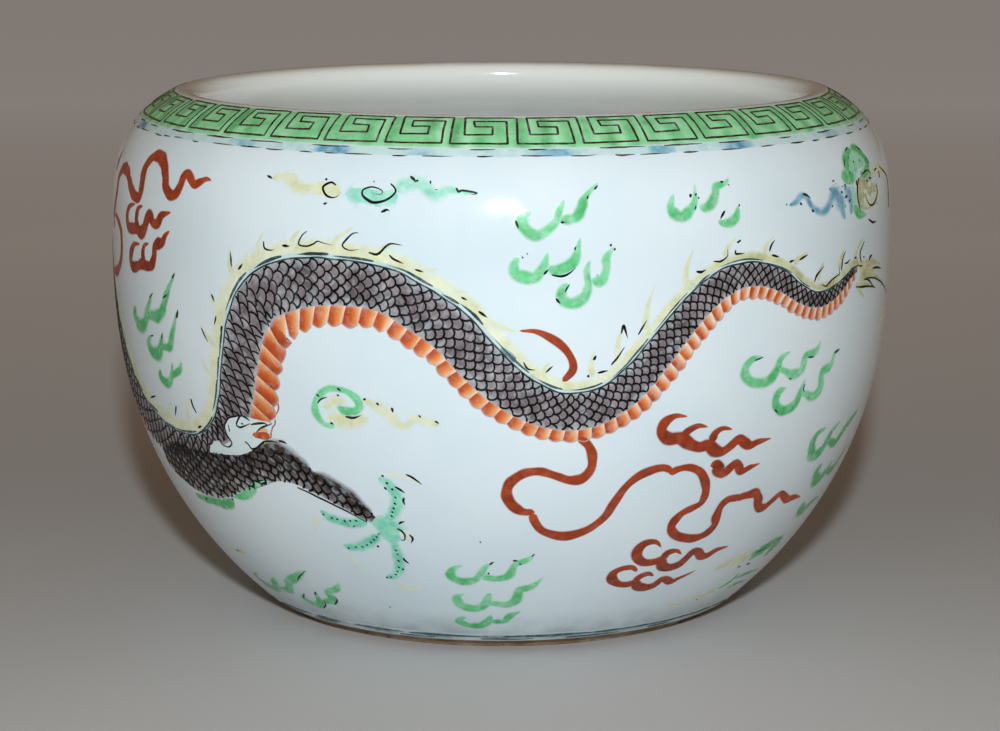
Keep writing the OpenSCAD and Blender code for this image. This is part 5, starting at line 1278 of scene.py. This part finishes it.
# Short black accents of the finest brush
ACCENTS = [
    [(-63, 45.2), (-60.5, 46)], [(-54, 45.6), (-55, 43.8)], [(-49.4, 47.6), (-49.2, 46.4), (-48.6, 45.4)],
    [(-45, 59.4), (-44.4, 58.4), (-43.8, 57.4)], [(-42.6, 64.8), (-42, 63.6)],
    [(-41.8, 61.6), (-42.2, 60.2)], [(-40.8, 60.2), (-41, 59.2)], [(-38.6, 69.3), (-38.8, 71.6)],
    [(-37.4, 69), (-36.6, 70)], [(-33, 73.6), (-32.8, 72.6), (-31.8, 72.4), (-31.2, 72.6)],
    [(-30, 73.2), (-28.8, 73.2)],
    [(-26.2, 75.6), (-27, 74.8), (-27.4, 73.6), (-26.2, 73.4), (-25.2, 73.8), (-24.6, 74.2), (-23.8, 74),
     (-22.4, 73.8)],
    [(-18.8, 75.8), (-19.6, 75.6), (-20.4, 74.8), (-21, 73.8), (-20, 73.2), (-18.6, 73.4)],
    [(-17.4, 73), (-16.2, 72.8), (-15, 74), (-14.2, 74.4), (-12.8, 74.2)],
    [(-14.6, 72.8), (-14, 72.2), (-12.6, 71.6)], [(-11.2, 70.8), (-10, 70.5)], [(-5.2, 67), (-4.4, 66.6)],
    [(-3, 65), (-1.8, 64.1)], [(2.8, 57.6), (3.4, 56.6), (4.4, 56.4)], [(5.7, 56), (6.7, 57)],
    [(11.3, 55.5), (11.5, 55.1)], [(12, 57.6), (12.4, 58.3)], [(12.6, 55.7), (14, 56)],
    [(14.4, 56.8), (15.2, 57.8), (16.2, 59.4)], [(15.7, 61.3), (16, 62.5), (16.6, 60.6)],
    [(18, 61), (19.2, 63.2)], [(26.2, 69.7), (27, 69.6), (27.7, 69.9)],
    [(28.8, 71), (30, 70.9), (31, 71.6), (31, 72.6)], [(32.4, 72.4), (32.4, 71.8), (33.8, 71.7)],
    [(32.6, 73.4), (33, 73.6)], [(38.2, 71.6), (38.6, 72.6), (39.2, 73.2)], [(38.6, 71), (40, 70.6)],
    [(42, 69.6), (43, 69.8)], [(44, 69.7), (45.8, 70.3)], [(47.4, 66), (48, 67), (49.6, 68.1)],
    [(49.2, 65.4), (50.2, 65), (51, 65.4), (51.8, 65.8), (53, 66.2), (53.6, 66.4), (53.6, 67.4)],
    [(54.2, 66.8), (54.4, 68.4), (55.2, 69.6)], [(60.4, 67.2), (60, 68.8), (61.4, 70.4)],
    [(55, 67.8), (55.8, 67.8), (56.6, 68.2)], [(58, 68.2), (58.8, 68.2)], [(61.2, 68), (61.6, 67.8)],
    [(63.6, 67), (63.8, 67.4), (64.8, 67.8)], [(65.2, 65.6), (67.2, 65.4), (70.2, 64.8)],
    [(61.6, 64.4), (63.6, 64), (65.2, 63), (66.8, 62.2)],
    [(61.6, 64.4), (64.8, 64.2), (68, 63.4), (71.8, 62), (75.6, 60.2), (76.2, 59.8)],
    [(58.8, 63.6), (62.2, 63.2), (64.8, 62.8), (67.2, 62.2)], [(59.6, 66.8), (61, 66.6)],
    [(1.8, 78), (2, 77.4), (2.2, 76.8)], [(7.6, 77.6), (8.2, 77.6)], [(11.2, 80.8), (11.4, 81.4)],
    [(12.2, 82.2), (12.8, 82.8)], [(5.4, 70.2), (6, 71)],
    [(6.4, 70.2), (7.2, 70), (8, 70), (8.8, 70.4), (9.6, 71.2)], [(9.4, 73.6), (9.6, 74.2)],
    [(2.6, 72.6), (2.8, 72.8)], [(3.2, 73.2), (3.4, 73.2)], [(8.2, 67.6), (8.4, 68.2), (8.8, 68.8)],
    [(7, 66.8), (7.6, 66)], [(14.2, 74), (14.2, 74.4)], [(14.6, 73.4), (14.8, 73.8)],
    [(36.2, 55.5), (37.8, 55.9)], [(43.2, 51.8), (43.8, 51.6)], [(47, 54.5), (48.4, 54.4)],
    [(41.2, 47.2), (42, 46.5)], [(47, 50.4), (46.8, 49.6), (47.2, 49)], [(53.6, 54.2), (55, 54.5)],
    [(25.8, 81), (25.6, 80.4)], [(26.6, 81), (26.4, 80.6)], [(26.8, 80.4), (27, 80.2)],
    [(26.4, 79.2), (26.2, 78.6)], [(30.6, 82.4), (31.2, 82.4)], [(31.8, 82), (32, 81.8)],
    [(30.8, 78.2), (30, 77)], [(33.2, 79), (33.2, 78.6)], [(33.2, 73.8), (32.8, 73.4)],
    [(1.8, 24.2), (2.6, 24.2)], [(4.7, 25), (5.2, 25.6)], [(-1.9, 23.4), (-1.2, 24)],
    [(-2.2, 21.6), (-2, 21.3)], [(2.8, 23.6), (3.2, 23.4)], [(-40.4, 15), (-39.4, 16), (-36.4, 18.2)],
    [(-38.8, 35.6), (-37.2, 36)], [(-37.6, 35.4), (-36.6, 35.8)], [(-46.4, 30.8), (-46, 31)],
    [(-55.2, 29), (-54.4, 29.2)], [(-43, 10), (-41.6, 11.4)], [(-38, 12), (-37.6, 12.8)],
    [(-39, 8), (-37.4, 9.4), (-37.2, 10.4)], [(-34.6, 10), (-33.2, 11.4), (-33, 12.4)],
    [(-58.2, 62), (-57, 63)], [(-54, 62.6), (-52.8, 63.4)], [(-51.4, 66), (-50.6, 67)],
    [(-58.6, 56), (-57.8, 56.2)], [(-55.2, 56), (-54.8, 57.2)], [(-50.6, 60), (-50.2, 61.4)],
    [(-25.4, 51.6), (-25, 51.2)], [(-25.4, 50.2), (-24.8, 50.9), (-23.8, 51.3)],
    [(-22.3, 52.8), (-21.7, 52.4)], [(-22.4, 51.8), (-22, 51.6)], [(-18.6, 51.3), (-18.2, 51.5)],
    [(-21.4, 48.5), (-20.2, 48.4), (-19, 48.9)], [(-23.8, 47.3), (-23.2, 47.1)],
    [(-16.8, 51), (-16.4, 50.6)], [(-14.7, 50.4), (-14.5, 49.6)], [(-11.1, 49.4), (-10.7, 49)],
    [(-8.9, 48.6), (-8.3, 48.2)],
    [(-22.4, 82.4), (-23.2, 82.8), (-24.2, 82.2), (-24.2, 81.6), (-23.6, 80.8), (-22.6, 80.6), (-21.8, 81)],
    [(-33.4, 83.2), (-32.4, 82.8)], [(-24.2, 83.2), (-23.8, 83.2)], [(-24, 79.6), (-23.4, 79.8)],
    [(-17.2, 83.2), (-17, 83.2)], [(-15.8, 78.8), (-15, 79.2), (-14.6, 79)],
    [(-12.2, 84.2), (-11.6, 83.6), (-11.4, 83.2)], [(-11.4, 83.4), (-11, 83.6)],
    [(-9.4, 83.6), (-9.4, 83)],
    [(-6, 82.6), (-5.6, 82), (-5.2, 82.2), (-3.8, 82), (-3.2, 81.8), (-4, 81.6)],
    [(41.6, 78.2), (41.8, 78.2)], [(45.2, 79.4), (46, 79.2), (46.8, 78.6)], [(44.4, 78.2), (44.8, 77.8)],
    [(46.8, 76.8), (47.4, 76.6)], [(59.8, 80), (59.4, 79.2)], [(59.2, 83.8), (59.4, 83.6)],
    [(60.4, 83), (60.2, 82.6)], [(62.4, 83), (62.8, 82.6)], [(58, 81.6), (58, 81)],
    [(52.6, 80.6), (53.2, 80.6)], [(51.6, 79.6), (51.6, 79.4)], [(55, 79.6), (55, 79.4)],
    [(55.8, 79.8), (56, 79.4)], [(57.2, 79.8), (57.4, 79.6)], [(54.4, 78.8), (55, 78.6)],
    [(55.4, 77.8), (56.2, 78)], [(56.4, 77), (57.2, 77.4)], [(51.6, 76.8), (52, 77)],
    [(60.4, 85.2), (58.8, 84.6)], [(57.6, 83.6), (57, 82.2)], [(63.4, 85), (64.8, 84.2)],
    [(65.8, 83), (66.2, 81.8)], [(60.6, 80.2), (59.6, 78.8), (59.4, 77), (60, 75)],
    [(62, 80.6), (64.4, 81), (66, 80.4)], [(63.4, 79.6), (63.8, 79.2)], [(64.6, 79.8), (65.8, 79.6)],
    [(67.6, 78.4), (67.6, 77), (66, 75.8), (64, 75.6), (62.6, 76.6), (62.2, 77.6)],
    [(71.2, 80.8), (75.6, 78.8), (76, 76.6), (75.6, 73.8)], [(67.8, 80.6), (69.4, 80.8)],
    [(70.2, 80.2), (70, 79.2)], [(63, 73.6), (65, 72.8), (66.6, 72.8)], [(-55.4, 18.5), (-54.6, 18.3)],
    [(48.4, 16.2), (49, 16.4)], [(51.2, 16.2), (52.2, 16.2)], [(42.3, 9.6), (42.7, 9.6)],
    [(57.6, 19.8), (59.4, 20.2)], [(51.6, 18.8), (53.6, 19), (54.8, 19.8)],
    [(-14.8, 83), (-14.2, 82.4), (-14, 81.8), (-14.6, 81), (-15.6, 80.4), (-17, 80.2), (-18.2, 80.8),
     (-18.6, 81.4), (-18.4, 82), (-17.4, 82.4), (-16.4, 82.2), (-15.8, 81.8), (-16, 81.4), (-16.8, 81.4)],
    [(-3.3, 28.1), (-3.1, 27.9)], [(-21.5, 11.9), (-21.3, 11.7)]
]
for path in ACCENTS:
    ink.stroke(path, LINE, half=rng.uniform(0.14, 0.23), tone=0.25, point=0.7)
ink.piece("black_accents", INK, "dark_line")

# The head on the far side
SKULL = [
    (-132.8, 56.8, 2.4), (-135, 57.8, 2.8), (-138, 59.4, 3.4), (-142, 61, 3.8), (-146, 61.2, 2.8),
    (-150, 61.4, 2.2), (-153, 62.4, 1.2)
]
JAW = [(-141, 55.2, 0.8), (-145, 53.8, 1.3), (-149, 53.6, 1.2), (-152, 55, 0.5)]
HORNS = [
    [(-140, 65.6, 0.6), (-136, 68.4, 0.7), (-131, 70.4, 0.5), (-126, 70, 0.1)],
    [(-143.5, 66, 0.5), (-141, 70, 0.6), (-137, 73.4, 0.5), (-132, 75, 0.1)],
    [(-144, 51.6, 0.5), (-142, 48.6, 0.6), (-138.6, 46.4, 0.1)],
    [(-148, 51.4, 0.5), (-147, 47.6, 0.6), (-144, 44.6, 0.1)]
]
MANE = [
    [(-138, 64, 0.8), (-134, 66, 0.7), (-129.6, 66.4, 0.1)],
    [(-136, 62.6, 0.8), (-131.6, 63.6, 0.7), (-127, 63, 0.1)],
    [(-139, 55.6, 0.8), (-135.6, 52.6, 0.6), (-131.6, 51.4, 0.1)]
]
WHISKERS = [
    [(-153.4, 61.2), (-156.4, 59.6), (-158.6, 61.4), (-160.4, 64.8), (-163, 66)],
    [(-152.6, 60.4), (-155.6, 57), (-158.4, 56.2), (-161, 58)]
]
HEAD_INK = [
    [(-137, 63.4), (-140, 64.6), (-143.4, 65.2), (-146, 64), (-149, 63.6), (-151.6, 64.6), (-153.8, 63.8),
     (-154.2, 62)],
    [(-154, 61), (-151.4, 60), (-148.4, 59.6), (-145.4, 58.4), (-142.6, 57.6), (-140.6, 56.2)],
    [(-152.2, 55.8), (-150, 54), (-146.4, 52.8), (-142.6, 53.8), (-139.6, 55)],
    [(-152.8, 62.8), (-152, 63.2), (-151.4, 62.6), (-152, 62.2)],
    [(-146.4, 64.2), (-144.6, 65.4), (-142, 65.2), (-140.4, 64)],
    [(-139.6, 60.4), (-138.4, 59.2), (-139.2, 57.8), (-140.6, 58.2)],
    [(-150.6, 59.8), (-150.4, 58.8), (-149.8, 59.6)], [(-148, 59.4), (-147.6, 58.2), (-147, 58.9)],
    [(-149.4, 55.2), (-149, 56.4), (-148.4, 55)], [(-133, 66.8), (-130, 67)],
    [(-130.8, 64), (-127.8, 63.4)], [(-135, 51.6), (-132.4, 50.8)]
]
EYE_AT = (-143.6, 62.4)
EYE_R = 1.2
HEAD_WASH = Brush(lift=0.035, soft=0.48, rim_cover=0.9, rim_lift=0.02, relief=0.25)
EYE_WASH = Brush(lift=OVER_SCALES, soft=0.2, rim_cover=0.1, rim_lift=0.06, relief=0.2)
head = Paint()
for path in (SKULL, JAW):
    head.stroke(path, HEAD_WASH, tone=0.45)
head.piece("dragon_head_wash", SCALE, "scale_enamel", "dragon_head")
horns = Paint()
for path in HORNS + MANE:
    horns.stroke(path, LOOSE, tone=0.5)
horns.piece("dragon_horn_wash", YELLOW, "yellow_enamel", "dragon_horns")
eye = Paint()
eye.stroke([(EYE_AT[0] - 0.5, EYE_AT[1], EYE_R), (EYE_AT[0] + 0.5, EYE_AT[1], EYE_R)], EYE_WASH,
           tone=0.95, cover=0.1)
eye.piece("dragon_eye_white", TURQUOISE, "turquoise_enamel")
head_lines = Paint()
for path in HEAD_INK:
    head_lines.stroke(path, OVER_FLAME, half=0.24, tone=0.25, point=0.6)
turns = np.radians(np.arange(0, 361, 30))
lids = [(EYE_AT[0] + EYE_R * math.cos(a) * 1.3, EYE_AT[1] + EYE_R * math.sin(a)) for a in turns]
head_lines.stroke(lids, OVER_FLAME, half=0.18, tone=0.25)
pupil = [(EYE_AT[0] - 0.3, EYE_AT[1]), (EYE_AT[0] + 0.1, EYE_AT[1])]
head_lines.stroke(pupil, OVER_FLAME, half=0.5, tone=0.25)
head_lines.piece("dragon_head_lines", INK, "dark_line")
whiskers = Paint()
for path in WHISKERS:
    whiskers.stroke(path, LINE, half=0.3, tone=0.5, point=0.6)
whiskers.piece("dragon_whiskers", RED, "iron_red")

# Floor, light and camera
STAGE_HALF = 6.0
# The paper's colour grows paler from just behind the bowl to here: painted light, with the far floor painted
# as if better lit and the floor near the bowl darker
PAPER_NEAR = 0.06
PAPER_FAR = 0.4
# The paper behind glows for camera, glossy and transmission rays only, from here to here: painted light that
# lights nothing, apart from the lamps
GLOW_Y = (0.1, 0.9)
GLOW_STRENGTH = 0.115
GLOW_COLOUR = (0.83, 0.91, 1, 1)
NEAR_PAPER = [(0.3, (178, 178, 179)), (0.7, (184, 184, 185))]
FAR_PAPER = (236, 236, 237)
STAGE_CORNERS = [(-1, -1), (1, -1), (1, 1), (-1, 1)]
stage_mesh = bpy.data.meshes.new("floor")
stage_mesh.from_pydata([(x * STAGE_HALF, y * STAGE_HALF, 0) for x, y in STAGE_CORNERS], [], [(0, 1, 2, 3)])
floor_nodes = Nodes("floor_paper")
near_paper = floor_nodes.ramp(floor_nodes.noise(180, 3), NEAR_PAPER)
along = floor_nodes.tree.nodes.new("ShaderNodeSeparateXYZ")
floor_nodes.link(floor_nodes.place, along.inputs[0])
# Painted light: the paper is paler the further it lies behind the bowl
behind = floor_nodes.spread(along.outputs["Y"], PAPER_NEAR, PAPER_FAR)
paper = floor_nodes.mix(behind, near_paper, srgb(*FAR_PAPER))
floor_nodes.link(paper, floor_nodes.shader.inputs["Base Color"])
light_path = floor_nodes.tree.nodes.new("ShaderNodeLightPath").outputs
seen = floor_nodes.math("ADD", light_path["Is Camera Ray"], light_path["Is Glossy Ray"])
seen = floor_nodes.math("ADD", seen, light_path["Is Transmission Ray"], clamp=True)
glow = floor_nodes.spread(along.outputs["Y"], *GLOW_Y, 0.0, GLOW_STRENGTH)
floor_nodes.link(floor_nodes.math("MULTIPLY", seen, glow), floor_nodes.shader.inputs["Emission Strength"])
floor_nodes.shader.inputs["Emission Color"].default_value = GLOW_COLOUR
floor_nodes.shader.inputs["Roughness"].default_value = 0.9
stage_mesh.materials.append(floor_nodes.material)
floor = bpy.data.objects.new("floor", stage_mesh)
bpy.context.scene.collection.objects.link(floor)

ROOM_COLOUR = (202, 171, 142)
ROOM_STRENGTH = 0.24
scene = bpy.context.scene
scene.view_settings.view_transform = "Standard"
world = bpy.data.worlds.new("studio")
world.use_nodes = True
world.node_tree.nodes["Background"].inputs["Color"].default_value = srgb(*ROOM_COLOUR)
world.node_tree.nodes["Background"].inputs["Strength"].default_value = ROOM_STRENGTH
scene.world = world


def area_light(name, place, target, size, power, colour, glossy=True):
    lamp = bpy.data.lights.new(name, "AREA")
    lamp.shape = "RECTANGLE"
    lamp.size, lamp.size_y = size
    lamp.energy = power
    lamp.color = colour
    light = bpy.data.objects.new(name, lamp)
    light.location = place
    light.rotation_euler = (Vector(target) - Vector(place)).to_track_quat("-Z", "Y").to_euler()
    light.visible_glossy = glossy
    light.visible_camera = False
    scene.collection.objects.link(light)


BOWL_MIDDLE = (0, 0, 0.045)
SIDE_OUT = 0.3
SIDE_Y = -0.1
SIDE_UP = 0.16
SIDE_SIZE = (0.2, 0.1)
SIDE_POWER = 0.075
SIDE_COLOUR = (1, 0.84, 0.66)
for side in (-1, 1):
    area_light(f"side_{side + 1}", (side * SIDE_OUT, SIDE_Y, SIDE_UP), BOWL_MIDDLE, SIDE_SIZE, SIDE_POWER,
               SIDE_COLOUR, glossy=False)

CAMERA_BACK = 0.440
CAMERA_UP = 0.1206
CAMERA_DOWN = math.radians(10.72)
FOCAL_PX = 2688
IMAGE_W = 1000
MIDDLE_X_PX = 501.5
camera_data = bpy.data.cameras.new("camera")
camera_data.sensor_width = 36
camera_data.lens = FOCAL_PX / IMAGE_W * camera_data.sensor_width
camera_data.shift_x = (IMAGE_W / 2 - MIDDLE_X_PX) / IMAGE_W
camera = bpy.data.objects.new("camera", camera_data)
camera.location = (0, -CAMERA_BACK, CAMERA_UP)
camera.rotation_euler = (math.pi / 2 - CAMERA_DOWN, 0, 0)
scene.collection.objects.link(camera)
scene.camera = camera

# A softbox above the camera, where the wall mirrors it as the bright spot on the shoulder
GLINT_PLACE = (0.2, 80)
GLINT_FAR = 0.45
SOFTBOX_SIZE = (0.016, 0.036)
SOFTBOX_POWER = 2.1
SOFTBOX_COLOUR = (0.92, 0.98, 1)
spot, out = wall(np.array(GLINT_PLACE[0]), np.array(GLINT_PLACE[1]), 0.0)
spot = Vector(spot * MM)
out = Vector(out)
sight = (spot - camera.location).normalized()
mirrored = sight - 2 * sight.dot(out) * out
area_light("softbox", spot + mirrored * GLINT_FAR, BOWL_MIDDLE, SOFTBOX_SIZE, SOFTBOX_POWER, SOFTBOX_COLOUR)
